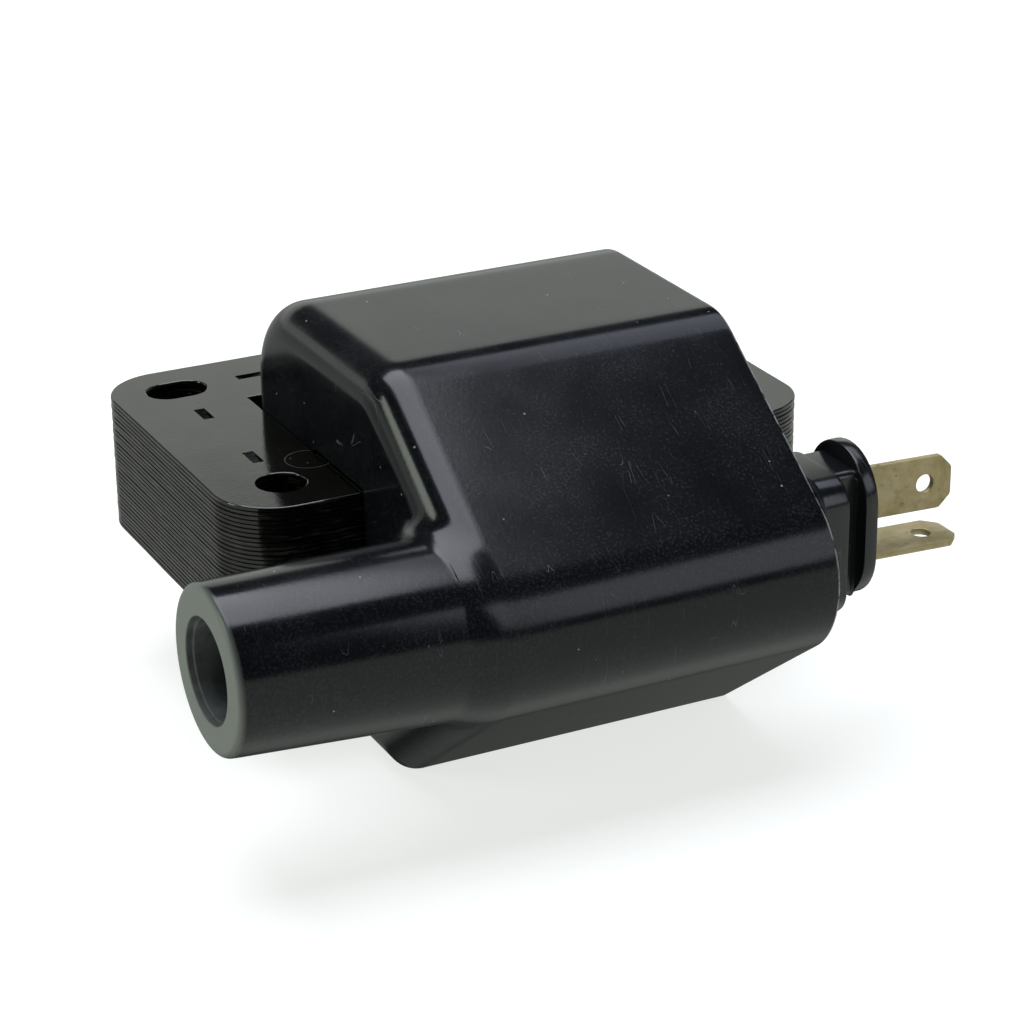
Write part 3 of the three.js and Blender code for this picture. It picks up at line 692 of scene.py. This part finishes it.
def case_distance(body, tower, outline, points):
    """Distance outside the case with its tower, below zero inside.

    The body is its outline carried along X with a rounded left end: the two distances, to the
    outline and to the left face, are taken in by the end radius and joined by their length.
    The outline's distance is the largest of (normal . point - support) over its normals, as for
    any convex shape. The tower is a cone that ends inside the body. The two are joined by a
    hollow of radius h: max(h, min(a, b)) - length(max(h - a, 0), max(h - b, 0)). The hollow is
    a little larger where the left face stands high above the tower."""
    x, flat = points[:, 0], points[:, 1:]
    normal, support = outline
    section = np.max(flat @ normal.T - support, axis=1)
    radius = body.end_radius
    q = np.stack([section + radius, body.left - x + radius])
    block = np.minimum(q.max(axis=0), 0) + np.hypot(*np.maximum(q, 0)) - radius
    away = flat - tower_centre(tower, x)
    side = body.left + body.end_radius
    cone = np.hypot(away[:, 0], away[:, 1]) - tower_radius(body, tower, np.minimum(x, side))
    cone = np.maximum(cone, x - side)
    growth, starts_at, most = -0.25, 2, 1.2
    hollow = body.root_radius + np.clip(growth * (section + starts_at), 0, most)
    both = np.maximum(hollow - np.stack([cone, block]), 0)
    return np.maximum(hollow, np.minimum(cone, block)) - np.hypot(*both)


def settle(points, distance, steps=5, probe=0.01):
    """Moves points onto the surface where a distance is zero, by Newton's steps along its
    slope, which is measured with small probes along X, Y and Z."""
    for _ in range(steps):
        here = distance(points)
        slope = np.stack(
            [(distance(points + probe * axis) - here) / probe for axis in np.eye(3)], axis=1
        )
        size = np.maximum(np.sum(slope**2, axis=1), 0.2)
        points = points - slope * (here / size)[:, None]
    return points


def case_surface(body, tower):
    """The whole case as one closed grid round the tower's axis. Each row is a profile that
    starts in the stem hole and runs along the socket, over the rim, down the tower, across the
    left face, round the end, along the side, over the right rim and back along the inside."""
    tip, right = SHELL_LOW[0], BODY_RIGHT
    outer = body_section(body, 0)[0]
    centre = tower_centre(tower, body.left)
    turn = np.arctan2(*(outer - centre).T[::-1])
    ring = np.stack([np.cos(turn), np.sin(turn)], axis=1)

    def round_column(radius, x):
        return at_x(x, tower_centre(tower, x) + radius * ring)

    bottom = tip + tower.depth
    rim = [(tower.tip_radius - tower.edge + tower.edge * math.sin(a),
            tip + tower.edge - tower.edge * math.cos(a)) for a in np.linspace(0, math.pi / 2, 9)]
    depths = np.linspace(bottom, tip + tower.mouth + 0.1, 14)
    approach = 4.0  # length of the tower's root whose points may gather in the hollow
    inner = [(tower.stem, body.left + body.wall), (tower.stem, bottom + 0.02)]
    inner += [(tower.stem * 1.6, bottom), (tower.bore_bottom - 0.3, bottom)]
    inner += [(tower.bore_bottom, depth) for depth in depths]
    inner += [(tower.bore_bottom + 0.08, tip + tower.mouth), (tower.bore, tip + tower.mouth - 0.03)]
    inner += [(tower.bore, tip + 0.12), (tower.bore + 0.12, tip)]
    inner += [(tower.bore + 0.6, tip), (tower.tip_radius - tower.edge - 0.3, tip)]
    along = np.linspace(tip + tower.edge + 0.8, body.left - approach, 16)
    columns = [round_column(r, x) for r, x in inner + rim]
    columns += [round_column(tower_radius(body, tower, x), x) for x in along]
    start = len(columns)

    # Across the left face: along the tower, then outwards to where the end rounding begins.
    inset = body_section(body, body.end_radius)[0]
    edge = round_column(tower.root_outer, body.left)[:, 1:]
    gap = np.linalg.norm(inset - centre, axis=1) - tower.root_outer
    target = np.where(gap[:, None] > 0, inset, edge)
    reach = np.linalg.norm(target - edge, axis=1)
    for share in np.linspace(0, 1, 34)[1:]:
        run = approach * share + reach * share**3
        x = np.minimum(body.left - approach + run, body.left)
        out = np.clip((run - approach) / np.maximum(reach, 1e-6), 0, 1)
        centres = tower_centre(tower, x)
        cone = centres + tower_radius(body, tower, x)[:, None] * ring
        flat = edge + (target - edge) * out[:, None]
        columns.append(at_x(x, np.where((run > approach)[:, None], flat, cone)))

    # Round the end: the outline drawn in by R(1 - sin a) at R(1 - cos a) from the left face.
    bend = np.linspace(0, math.pi / 2, 15)[1:]
    rounded = body_section(body, body.end_radius * (1 - np.sin(bend)))
    for a, section in zip(bend, rounded):
        x = body.left + body.end_radius * (1 - math.cos(a))
        away = section - tower_centre(tower, x)
        far = np.linalg.norm(away, axis=1, keepdims=True)
        cone = tower_radius(body, tower, x)
        columns.append(at_x(x, tower_centre(tower, x) + away * np.maximum(1, cone / far)))
    side = body.left + body.end_radius
    for x in (side + 0.6, side + 1.4, side + 2.6):
        columns.append(at_x(x, outer))
    blend = np.stack(columns[start:])
    normal = inward(outer) * -1
    normal /= np.linalg.norm(normal, axis=1, keepdims=True)
    outline = normal, np.sum(normal * outer, axis=1)
    settled = settle(blend.reshape(-1, 3), partial(case_distance, body, tower, outline))
    columns = columns[:start] + list(settled.reshape(blend.shape))

    # Along the side, over the right rim and back along the inside.
    for x in np.linspace(side + 4, right - 1.2, 24):
        columns.append(at_x(x, outer))
    edge_start = len(columns)
    rim_insets = [0.0, 0.0, 0.03, 0.14, 0.3, body.wall - 0.15, body.wall]
    short_of_right = (0.55, 0.3, 0.1, 0.0, 0.0, 0.0, 0.15)
    for short, section in zip(short_of_right, body_section(body, rim_insets)):
        columns.append(at_x(right - short, section))
    hollow = body_section(body, body.wall)[0]
    wall_x = body.left + body.wall
    for x in (right - 3, right - 12, wall_x + 6, wall_x):
        columns.append(at_x(x, hollow))
    middle = tower_centre(tower, wall_x)
    for share in (0.35, 0.75):
        columns.append(at_x(wall_x, hollow + (middle + tower.stem * ring - hollow) * share))
    grid = np.stack(columns)
    trimmed, wear_and_sheen, socket = np.zeros((3, *grid.shape[:2]))
    trimmed[edge_start + 2 : edge_start + 4] = 1.0
    # The rim and its rounded edge get the chalky grey: rubbed resin with a painted reflection of
    # the floor.
    face = len(inner)
    wear_and_sheen[face - 3 : face + 1] = 1.0
    wear_and_sheen[face + 1 : face + 9] = np.linspace(1, 0, 8)[:, None]
    socket[: face - 3] = 1.0
    return grid, {"trimmed_edge": trimmed, "rim_wear_and_reflection": wear_and_sheen, "socket_wall": socket}


def bar_outline(stand_off, corner):
    """The front bar's section in Y and Z, grown by a stand-off."""
    middle = (BAR_LOW[1:] + BAR_HIGH[1:]) / 2
    half = (BAR_HIGH[1:] - BAR_LOW[1:]) / 2 + stand_off
    return rounded_rectangle(middle, half, corner)


def tube(outline_outer, outline_inner, left, right):
    """A closed tube between two outlines of equal length, carried along X."""
    outer, inner = outline_outer, outline_inner
    grid = np.stack([at_x(left, outer), at_x(right, outer), at_x(right, inner), at_x(left, inner)])
    return grid, grid_faces(4, len(outline_outer), close_rows=True, close_columns=True)


def cut_passage(piece, left, right):
    """Cuts the front bar's passage out of a piece with an exact boolean, whose result is kept."""
    ring = bar_outline(0.5, 0.5)
    rows = [at_x(x, ring) for x in (left, right)]
    mesh = bpy.data.meshes.new("passage_cutter")
    faces = grid_faces(2, len(ring), close_columns=True).tolist()
    faces += [list(range(len(ring)))[::-1], list(range(len(ring), 2 * len(ring)))]
    mesh.from_pydata(place(np.concatenate(rows)), [], faces)
    cutter = bpy.data.objects.new("passage_cutter", mesh)
    bpy.context.scene.collection.objects.link(cutter)
    first_side_faces_in = mesh.polygons[0].normal.y * (ring[0][0] - ring[:, 0].mean()) < 0
    if first_side_faces_in:
        mesh.flip_normals()
    cut = piece.modifiers.new("passage", "BOOLEAN")
    cut.operation, cut.solver, cut.object = "DIFFERENCE", "EXACT", cutter
    graph = bpy.context.evaluated_depsgraph_get()
    result = bpy.data.meshes.new_from_object(piece.evaluated_get(graph))
    piece.modifiers.remove(cut)
    if len(result.polygons) < len(piece.data.polygons) // 2:
        raise RuntimeError("the passage could not be cut from " + piece.name)
    piece.data = result
    bpy.data.objects.remove(cutter)


class COIL_OT_case(bpy.types.Operator):
    """Moulded case: body, tower and socket in one closed shell, with the sleeve for the bar"""

    bl_idname = "coil.case"
    bl_label = "Moulded case"

    def execute(self, context):
        body, tower = mm(context.scene.coil_body), mm(context.scene.coil_tower)
        grid, marks = case_surface(body, tower)
        rows, columns = grid.shape[:2]
        faces = grid_faces(rows, columns, close_rows=True, close_columns=True)
        resin = moulded_thermoset(body)
        shell = new_piece("case_shell", [(grid, faces)], resin, ["housing"])
        for name, amount in marks.items():
            attribute = shell.data.attributes.new(name, "FLOAT", "POINT")
            attribute.data.foreach_set("value", amount.astype(np.float32).ravel())
        cut_passage(shell, body.left - 1, body.left + body.wall + 1)
        shell.data.set_sharp_from_angle(angle=math.radians(SHARP))
        left, right = body.left + body.wall - 0.3, BODY_RIGHT - 0.05
        sleeve = tube(bar_outline(1.5, 1.5), bar_outline(0.52, 0.5), left, right)
        new_piece("bar_sleeve", [sleeve], resin)
        return {"FINISHED"}


class COIL_OT_compound(bpy.types.Operator):
    """Poured compound that closes the case's right end, climbing at its edges"""

    bl_idname = "coil.compound"
    bl_label = "Poured compound"

    def execute(self, context):
        body = mm(context.scene.coil_body)
        outer = body_section(body, body.wall + 0.02)[0]
        middle = (BAR_LOW[1:] + BAR_HIGH[1:]) / 2
        half = (BAR_HIGH[1:] - BAR_LOW[1:]) / 2 + 1.53
        away = outer - middle
        away /= np.linalg.norm(away, axis=1, keepdims=True)
        inner = middle + away * np.min(half / np.maximum(np.abs(away), 1e-9), axis=1)[:, None]
        width = np.linalg.norm(outer - inner, axis=1)
        climb = 0.7  # how far from its edges the surface has mostly levelled out
        columns = []
        for share in np.linspace(0, 1, 41):
            eased = 0.5 - 0.5 * math.cos(math.pi * share)
            flat = outer + (inner - outer) * eased
            from_edge = np.minimum(eased, 1 - eased) * width
            sag = body.meniscus * (1 - np.exp(-from_edge / climb))
            ripple = 0.05 * np.sin(flat[:, 0] * 0.31 + 1.3) * np.cos(flat[:, 1] * 0.27)
            x = BODY_RIGHT - 0.12 - sag + ripple * np.minimum(1, from_edge / 2)
            columns.append(at_x(x, flat))
        depth = BODY_RIGHT - 5
        grid = np.stack([*columns, at_x(depth, inner), at_x(depth, outer)])
        faces = grid_faces(len(grid), len(outer), close_rows=True, close_columns=True)
        epoxy = poured_epoxy(body)
        new_piece("poured_face", [(grid, faces)], epoxy, ["potting_fill"])
        return {"FINISHED"}


# ---------------------------------------------------------------- the laminated steel


def frame_outline(core):
    """The U plate's outline, anticlockwise from the front of the left yoke's outer corner."""
    low, high, r = CORE_LOW[:2], CORE_HIGH[:2], core.corner
    front, back = low[1], high[1] - core.back_leg
    left, right = low[0] + core.yoke, high[0] - core.yoke
    parts = [
        [(right, front)],
        arc((high[0] - r, front + r), r, -90, 0, 16),
        arc((high[0] - r, high[1] - r), r, 0, 90, 16),
        arc((low[0] + r, high[1] - r), r, 90, 180, 16),
        arc((low[0] + r, front + r), r, 180, 270, 16),
        [(left, front), (left, back), (right, back)],
    ]
    return spaced(np.concatenate(parts), 1.2)


def frame_holes(core):
    """The two round holes and the two slots, clockwise."""
    loops = []
    for x in (core.hole_x, CORE_HIGH[0] - core.hole_x):
        loops.append(circle((x, core.hole_y), core.hole_radius, 36))
        reach, r = (core.slot_length - core.slot_width) / 2, core.slot_width / 2
        left_end = arc((x - reach, core.slot_y), r, 270, 90, 17)
        right_end = arc((x + reach, core.slot_y), r, 90, -90, 17)
        loops.append(np.concatenate([left_end, right_end]))
    return loops


def stamps(core):
    """Middles and half sizes of the stamped interlocks: two along each yoke, two in the back."""
    half = (core.stamp_width / 2, core.stamp_length / 2)
    along_yoke, from_end, back_y = (15.0, 29.9), 17.3, core.slot_y + 0.4
    yokes = (core.hole_x, CORE_HIGH[0] - core.hole_x)
    places = [((x, y), half) for x in yokes for y in along_yoke]
    return places + [((x, back_y), half[::-1]) for x in (from_end, CORE_HIGH[0] - from_end)]


def stamp_pocket(middle, half, depth, top):
    """A V-shaped interlock: the long way its floor falls from both ends to a line off its
    middle, and its long sides are cut straight down. Returns its loop and its faces."""
    long_axis = int(half[1] > half[0])
    short_axis = 1 - long_axis
    corners = np.array([(-1, -1), (1, -1), (1, 1), (-1, 1)], float) * half + middle
    line = np.array([(0.0, 0.0), (0.0, 0.0)])
    line[:, short_axis] = (-half[short_axis], half[short_axis])
    line[:, long_axis] = -0.25 * half[long_axis]
    line = line * 0.94 + middle
    points = np.column_stack([np.concatenate([corners, line]), [top] * 4 + [top - depth] * 2])
    if long_axis:
        faces = [[0, 1, 5, 4], [4, 5, 2, 3]], [[1, 2, 5], [3, 0, 4]]
    else:
        faces = [[0, 4, 5, 3], [4, 1, 2, 5]], [[0, 1, 4], [2, 3, 5]]
    return corners[::-1], (points, [np.array(group) for group in faces])


def plate_levels(core, low, high):
    """Insets and heights of a pack's edge: each plate rises straight, with a groove between it
    and the next, and the outer plates have a small rolled edge."""
    pitch = (high - low) / core.plates
    levels = [(0.14, low), (0.04, low + 0.04), (0.0, low + 0.12)]
    for i in range(1, core.plates):
        z = low + i * pitch
        levels += [(0.0, z - 0.09), (core.groove, z), (0.0, z + 0.09)]
    return levels + [(0.0, high - 0.12), (0.04, high - 0.04), (0.14, high)]


def plate_wander(core, seed):
    """How far each plate stands back, one amount for a plate plus a slow wave along its edge.
    Amounts are never below zero, so nothing grows past the packed steel."""
    numbers = np.random.default_rng(seed)
    back = numbers.uniform(0.0, 1.0, core.plates) ** 2 * core.unevenness
    phase = numbers.uniform(0, 2 * math.pi, (core.plates, 2))

    def amounts(loop, levels):
        plate = np.clip((np.arange(levels) - 1) // 3, 0, core.plates - 1)
        travel = np.cumsum(np.linalg.norm(np.roll(loop, -1, axis=0) - loop, axis=1))
        slow = np.sin(travel[None] / 6.1 + phase[plate, :1])
        quick = np.sin(travel[None] / 2.3 + phase[plate, 1:])
        depth = 1.0 if len(loop) > 60 else 1.8  # the punched holes line up less well
        return depth * back[plate][:, None] + 0.012 * (2 + slow + quick)

    return amounts


def mark_edges(piece, low, high):
    """Marks the points of a pack's sides, between its two flat faces, for the streaks of wear and
    painted glints.
    """
    places = np.zeros(len(piece.data.vertices) * 3)
    piece.data.vertices.foreach_get("co", places)
    z = (places.reshape(-1, 3)[:, 2] - ZERO[2]) / MM
    side = ((z > low + 0.05) & (z < high - 0.05)).astype(np.float32)
    piece.data.attributes.new("plate_edge", "FLOAT", "POINT").data.foreach_set("value", side)


class COIL_OT_steel(bpy.types.Operator):
    """Laminated frame with its holes, slots and interlocks, and the front bar"""

    bl_idname = "coil.steel"
    bl_label = "Laminated steel"

    def execute(self, context):
        core = mm(context.scene.coil_core)
        low, high = 0.0, CORE_TOP
        finish = lacquered_steel(core)
        pockets = [stamp_pocket(m, h, core.stamp_depth, high) for m, h in stamps(core)]
        levels = plate_levels(core, low, high)
        parts = stack(
            frame_outline(core), frame_holes(core), levels, plate_wander(core, 3),
            [loop for loop, _ in pockets],
        )
        parts += [part for _, part in pockets]
        slot, nodes = "laminated_steel", ["core_stack", "core_top_plate", "core_bottom_plate"]
        pack = new_piece("frame_laminations", parts, finish, nodes, sharp=14)
        mark_edges(pack, low, high)
        corners = [BAR_LOW[:2], (BAR_HIGH[0], BAR_LOW[1]), BAR_HIGH[:2], (BAR_LOW[0], BAR_HIGH[1])]
        bar = stack(spaced(corners, 3.0), [], levels, plate_wander(core, 5))
        pack = new_piece("bar_laminations", bar, finish, ["core_bar"], sharp=14)
        mark_edges(pack, low, high)
        return {"FINISHED"}


# ---------------------------------------------------------------- terminals


def fallen(parts, tower, pivot):
    """Parts that fall with the tower's axis as they run to the right; heights at the pivot stay."""
    moved = []
    for points, faces in parts:
        points = np.array(points, float).reshape(-1, 3)
        points[:, 2] -= tower.fall * (points[:, 0] - pivot)
        moved.append((points, faces))
    return moved


class COIL_OT_block(bpy.types.Operator):
    """Terminal block: boss, neck and oval flange, carried along X as rounded rectangles"""

    bl_idname = "coil.block"
    bl_label = "Terminal block"

    def execute(self, context):
        t = mm(context.scene.coil_terminals)
        body = mm(context.scene.coil_body)
        # Each part's middle height and its half sizes along Y and Z.
        boss, neck, oval = (9.1, 6.75, 8.0), (9.7, 3.8, 7.4), (10.3, 5.95, 8.8)
        boss_x, flange_left, flange_right = 60.65, 63.1, BLOCK_HIGH[0]
        # Each step: its place along X, its part, its corner radius and how far it is drawn in.
        start = BODY_RIGHT + 0.02
        steps = [(start, boss, 3.2, 0.0), (boss_x - 0.45, boss, 3.2, 0.0)]
        steps += [(boss_x - 0.15, boss, 3.2, 0.08), (boss_x, boss, 3.2, 0.35)]
        steps += [(boss_x, neck, 0.9, 0.0), (boss_x + 0.6, neck, 0.9, 0.0)]
        steps += [(flange_left - 0.3, neck, 0.9, 0.0)]
        steps += [(flange_left, neck, 1.2, -0.3), (flange_left, oval, 5.5, 0.25)]
        steps += [(flange_left + 0.08, oval, 5.8, 0.06), (flange_left + 0.3, oval, 5.9, 0.0)]
        steps += [(flange_right - 0.3, oval, 5.9, 0.0), (flange_right - 0.08, oval, 5.8, 0.08)]
        steps += [(flange_right, oval, 5.6, 0.3), (flange_right, oval, 4.4, 1.4)]
        steps += [(flange_right, oval, 2.9, 2.9), (flange_right, oval, 0.9, 4.95)]
        columns = []
        for x, (z, half_y, half_z), radius, inset in steps:
            # The boss and the neck keep a level top; only the flange is drawn in all round.
            lowered = inset if half_z == oval[2] else inset / 2
            half = (half_y - inset, half_z - lowered)
            radius = max(0.05, min(radius, *half))
            section = rounded_rectangle((t.middle, z + inset - lowered), half, radius, 12)
            columns.append(at_x(x, section))
        # The boss's root is the part of its outline that lies inside the case's wall.
        outer = body_section(body, body.wall + 0.1)[0]
        normal = -inward(outer)
        normal /= np.linalg.norm(normal, axis=1, keepdims=True)
        middle = np.array([t.middle, boss[0] - 2.0])
        reach = np.sum(normal * (outer - middle), axis=1)
        away = columns[0][:, 1:] - middle
        share = np.min(reach / np.maximum(away @ normal.T, 1e-6), axis=1, keepdims=True)
        root = middle + away * np.minimum(share, 1)
        grid = np.stack([at_x(start - 1.0, root), at_x(start, root), *columns])
        rows, count = grid.shape[:2]
        ends = [np.arange(count)[None, ::-1], (np.arange(count) + (rows - 1) * count)[None]]
        block = grid, [grid_faces(rows, count, close_columns=True), *ends]
        nylon = moulded_nylon(t)
        new_piece("terminal_block_body", [block], nylon, ["terminal_block"])
        return {"FINISHED"}


def blade_outline(t, tip):
    """A blade's outline, u along it and v across, with cut corners softened by short arcs."""
    half, c, root = t.blade_width / 2, t.chamfer, 57.0
    lower = [(root, -half), (tip - c, -half), (tip, c - half)]
    raw = np.array(lower + [(u, -v) for u, v in lower[::-1]])
    before, after = np.roll(raw, 1, axis=0) - raw, np.roll(raw, -1, axis=0) - raw
    before /= np.linalg.norm(before, axis=1, keepdims=True)
    after /= np.linalg.norm(after, axis=1, keepdims=True)
    share = np.linspace(0, 1, 6)[None, :, None]
    start, end = (raw + before * 0.3)[:, None], (raw + after * 0.3)[:, None]
    curve = start * (1 - share) ** 2 + 2 * raw[:, None] * share * (1 - share) + end * share**2
    return spaced(curve.reshape(-1, 2), 1.5)


class COIL_OT_blades(bpy.types.Operator):
    """The two stamped blades, with pressed edges, cut corners and holes"""

    bl_idname = "coil.blades"
    bl_label = "Blades"

    def execute(self, context):
        t, tower = mm(context.scene.coil_terminals), mm(context.scene.coil_tower)
        tip = in_mm("upper_blade")[1][0]
        half = t.blade_thickness / 2
        levels = [(0.16, -half), (0.05, -half + 0.04), (0.0, -half + 0.14)]
        levels += [(0.0, half - 0.14), (0.05, half - 0.04), (0.16, half)]
        outline = blade_outline(t, tip)
        hole = circle((tip - t.hole_inset, 0.0), t.hole_radius, 32)
        flat = stack(outline, [hole], levels)
        finish = tarnished_brass(t)
        pivot = 70  # where along X the blades' heights are given
        lower = fallen(swept_axes(flat, (0, 1, 2), (0, t.middle, t.lower_z)), tower, pivot)
        new_piece("blade_lower", lower, finish, ["lower_blade"], sharp=40)
        turned = [(np.reshape(points, (-1, 3)) * (1, 1, -1), faces) for points, faces in flat]
        upper = fallen(swept_axes(turned, (0, 2, 1), (0, t.middle, t.upper_z)), tower, pivot)
        new_piece("blade_upper", upper, finish, ["upper_blade"], sharp=40)
        return {"FINISHED"}


class COIL_OT_post(bpy.types.Operator):
    """Turned terminal at the bottom of the tower's socket"""

    bl_idname = "coil.post"
    bl_label = "High-tension terminal"

    def execute(self, context):
        tower = mm(context.scene.coil_tower)
        left, right = TERMINAL_LOW[0], TERMINAL_HIGH[0]
        seat = SHELL_LOW[0] + tower.depth - 0.3
        # Each point of the turned outline: its radius and its place along X.
        profile = [
            (0.0, left), (0.9, left), (1.35, left + 0.1), (1.8, left + 0.45), (2.0, left + 0.9),
            (2.0, left + 1.6), (1.75, left + 1.9), (1.75, left + 2.5), (2.0, left + 2.8),
            (2.05, seat - 2.0), (2.3, seat - 1.72), (3.9, seat - 1.7), (4.2, seat - 1.55),
            (4.3, seat - 1.3), (4.3, seat - 0.3), (4.2, seat - 0.05), (1.5, seat), (1.5, right),
            (0.0, right),
        ]
        turn = np.linspace(0, 2 * math.pi, 48, endpoint=False)
        ring = np.stack([np.cos(turn), np.sin(turn)], axis=1)
        grid = np.stack([at_x(x, tower_centre(tower, x) + radius * ring) for radius, x in profile])
        faces = grid_faces(len(profile), len(turn), close_columns=True)
        brass = tarnished_brass(mm(context.scene.coil_terminals))
        brass.name = "turned_brass"
        new_piece("terminal_post", [(grid, faces)], brass, ["hv_terminal"])
        return {"FINISHED"}


class COIL_OT_inside(bpy.types.Operator):
    """Finishes of the packed pieces inside the case, whose shapes stay as they are"""

    bl_idname = "coil.inside"
    bl_label = "Inside pieces"

    def execute(self, context):
        copper, spool, paper = enamelled_copper(), glass_filled_spool(), pressed_paper()
        finishes = {
            "primary_winding": copper, "hv_lead": copper, "primary_lead_upper": copper,
            "primary_lead_lower": copper, "secondary_return_lead": copper,
            "primary_bobbin": spool, "secondary_bobbin": spool,
            "primary_wrap": paper, "core_gap_spacer": paper,
        }
        for name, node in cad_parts.items():
            finish = copper if name.startswith("secondary_winding") else finishes.get(name)
            if finish is not None:
                node.data.materials.clear()
                node.data.materials.append(finish)
        return {"FINISHED"}


# ---------------------------------------------------------------- stage


def softbox(name, centre, towards, size, power, tint):
    """A rectangular area light in the packed part's metres that the camera doesn't see."""
    light = bpy.data.lights.new(name, "AREA")
    light.shape, light.size, light.size_y = "RECTANGLE", *size
    light.energy, light.color = power, linear(tint)
    lamp = bpy.data.objects.new(name, light)
    lamp.location = centre
    lamp.rotation_euler = (Vector(towards) - Vector(centre)).to_track_quat("-Z", "Y").to_euler()
    lamp.visible_camera = False
    bpy.context.scene.collection.objects.link(lamp)


class COIL_OT_stage(bpy.types.Operator):
    """Pale floor, soft studio light and the camera"""

    bl_idname = "coil.stage"
    bl_label = "Stage"

    def execute(self, context):
        stage = context.scene.coil_stage
        mesh = bpy.data.meshes.new("studio_floor")
        reach = 4  # metres from the middle to each side
        corners = [(x * reach, y * reach, 0) for x, y in ((-1, -1), (1, -1), (1, 1), (-1, 1))]
        mesh.from_pydata(corners, [], [(0, 1, 2, 3)])
        floor = bpy.data.objects.new("studio_floor", mesh)
        paper, add, where = new_material("studio_floor_paper")
        far = add("VectorMath", {0: where}, out="Value", operation="LENGTH")
        # Lamplight fades with distance, so the paper's own glow takes over towards the horizon.
        fade = add("MapRange", {"Value": far, "From Min": 0.15, "From Max": 0.9})
        finished(paper, add, {
            "Base Color": layered(add, rgba(stage.floor), (fade, (0, 0, 0, 1))),
            "Roughness": 0.9, "Specular IOR Level": 0.0, "Emission Color": (0.98, 1.0, 0.97, 1),
            "Emission Strength": add("MapRange", {"Value": fade, "To Min": 0.74, "To Max": 1.05}),
        })
        mesh.materials.append(paper)
        context.scene.collection.objects.link(floor)
        floor.visible_glossy = False

        # The room: bright low all round, dark overhead. What shines from below stands for the
        # floor, which is dimmer behind the coil, where its own shadow falls.
        world = bpy.data.worlds.new("studio_room")
        world.use_nodes = True
        world.node_tree.nodes.clear()
        add = partial(add_node, world.node_tree)
        axes = add("SeparateXYZ", {"Vector": add("TexCoord", out="Generated")}).node.outputs
        x, y, z = axes["X"], axes["Y"], axes["Z"]
        # The dark ceiling comes lower to the left and in front.
        left = add("MapRange", {"Value": x, "From Min": 0.0, "From Max": -0.4, "To Max": 0.14})
        front = add("MapRange", {"Value": y, "From Min": -0.1, "From Max": -0.5, "To Max": 0.34})
        sides = add("Math", {0: front, 1: left}, operation="ADD")
        height = add("Math", {0: z, 1: sides}, operation="ADD")
        walls = {"From Min": 0.43, "From Max": 0.395, "To Min": 0.02, "To Max": 0.93}
        wall = add("MapRange", {"Value": height, **walls})
        behind = add("MapRange", {"Value": y, "From Min": 0.1, "From Max": 0.6})
        shadow = {"From Min": -0.45, "From Max": -0.65, "To Min": 0.42, "To Max": 0.06}
        dim = add("MapRange", {"Value": z, **shadow})
        ground = layered(add, (0.75, 0.75, 0.75, 1), (behind, dim))
        below = add("MapRange", {"Value": z, "From Min": 0.07, "From Max": 0.02})
        level = layered(add, wall, (below, ground))
        light = add("Background", {"Color": (0.95, 1.0, 0.93, 1), "Strength": level})
        add("OutputWorld", {"Surface": light})
        context.scene.world = world
        # Each softbox: its place, what it faces, its size, its power and its tint.
        for name, *settings in (
            ("key_softbox", (-0.03, 0.11, 0.55), (-0.03, 0.11, 0), (0.45, 0.5), 4.1, "#f0f4ff"),
            ("rear_softbox", (0.33, 0.18, 0.55), (0.33, 0.18, 0), (0.2, 0.38), 0.5, "#e6ecff"),
            ("front_softbox", (0.149, -0.223, 0.153), (0.0415, -0.0356, 0.028), (0.15, 0.14),
             0.12, "#eef3ff"),
            ("side_softbox", (-0.62, 0.12, 0.33), (0, 0, 0.02), (0.16, 0.3), 0.9, "#f4fff0"),
        ):
            softbox(name, *settings)

        data = bpy.data.cameras.new("studio_camera")
        data.lens, data.sensor_width, data.dof.use_dof = stage.lens, 36, False
        data.clip_start, data.clip_end = 0.01, 20
        camera = bpy.data.objects.new("studio_camera", data)
        a, e = stage.azimuth, stage.elevation
        back = Vector((math.sin(a) * math.cos(e), -math.cos(a) * math.cos(e), math.sin(e)))
        level = (-back).to_track_quat("-Z", "Y").to_matrix()
        camera.rotation_euler = (level @ Matrix.Rotation(stage.roll, 3, "Z")).to_euler()
        camera.location = Vector(ZERO) + Vector(stage.place)
        context.scene.collection.objects.link(camera)
        context.scene.camera = camera
        context.scene.view_settings.view_transform = "Standard"
        return {"FINISHED"}


# ---------------------------------------------------------------- the add-on

OPERATORS = (
    COIL_OT_case,
    COIL_OT_compound,
    COIL_OT_steel,
    COIL_OT_block,
    COIL_OT_blades,
    COIL_OT_post,
    COIL_OT_inside,
    COIL_OT_stage,
)


class COIL_PT_panel(bpy.types.Panel):
    """Lists the steps that build the coil's looks, and their settings"""

    bl_idname = "COIL_PT_panel"
    bl_label = "Ignition coil"
    bl_space_type = "VIEW_3D"
    bl_region_type = "UI"
    bl_category = "Ignition coil"

    def draw(self, context):
        for operator in OPERATORS:
            self.layout.operator(operator.bl_idname)
        for name, group in GROUPS.items():
            box = self.layout.box()
            box.label(text=group.__doc__)
            for field in group.__annotations__:
                box.prop(getattr(context.scene, name), field)


def register():
    """Registers the settings, the operators and the panel."""
    for kind in (*GROUPS.values(), *OPERATORS, COIL_PT_panel):
        bpy.utils.register_class(kind)
    for name, group in GROUPS.items():
        setattr(bpy.types.Scene, name, bpy.props.PointerProperty(type=group))


def unregister():
    """Takes back everything that register() added."""
    for name in GROUPS:
        delattr(bpy.types.Scene, name)
    for kind in (COIL_PT_panel, *reversed(OPERATORS), *reversed(GROUPS.values())):
        bpy.utils.unregister_class(kind)


def main():
    """Builds every piece and the stage."""
    register()
    for operator in OPERATORS:
        group, name = operator.bl_idname.split(".")
        getattr(getattr(bpy.ops, group), name)()


if __name__ == "__main__":
    main()
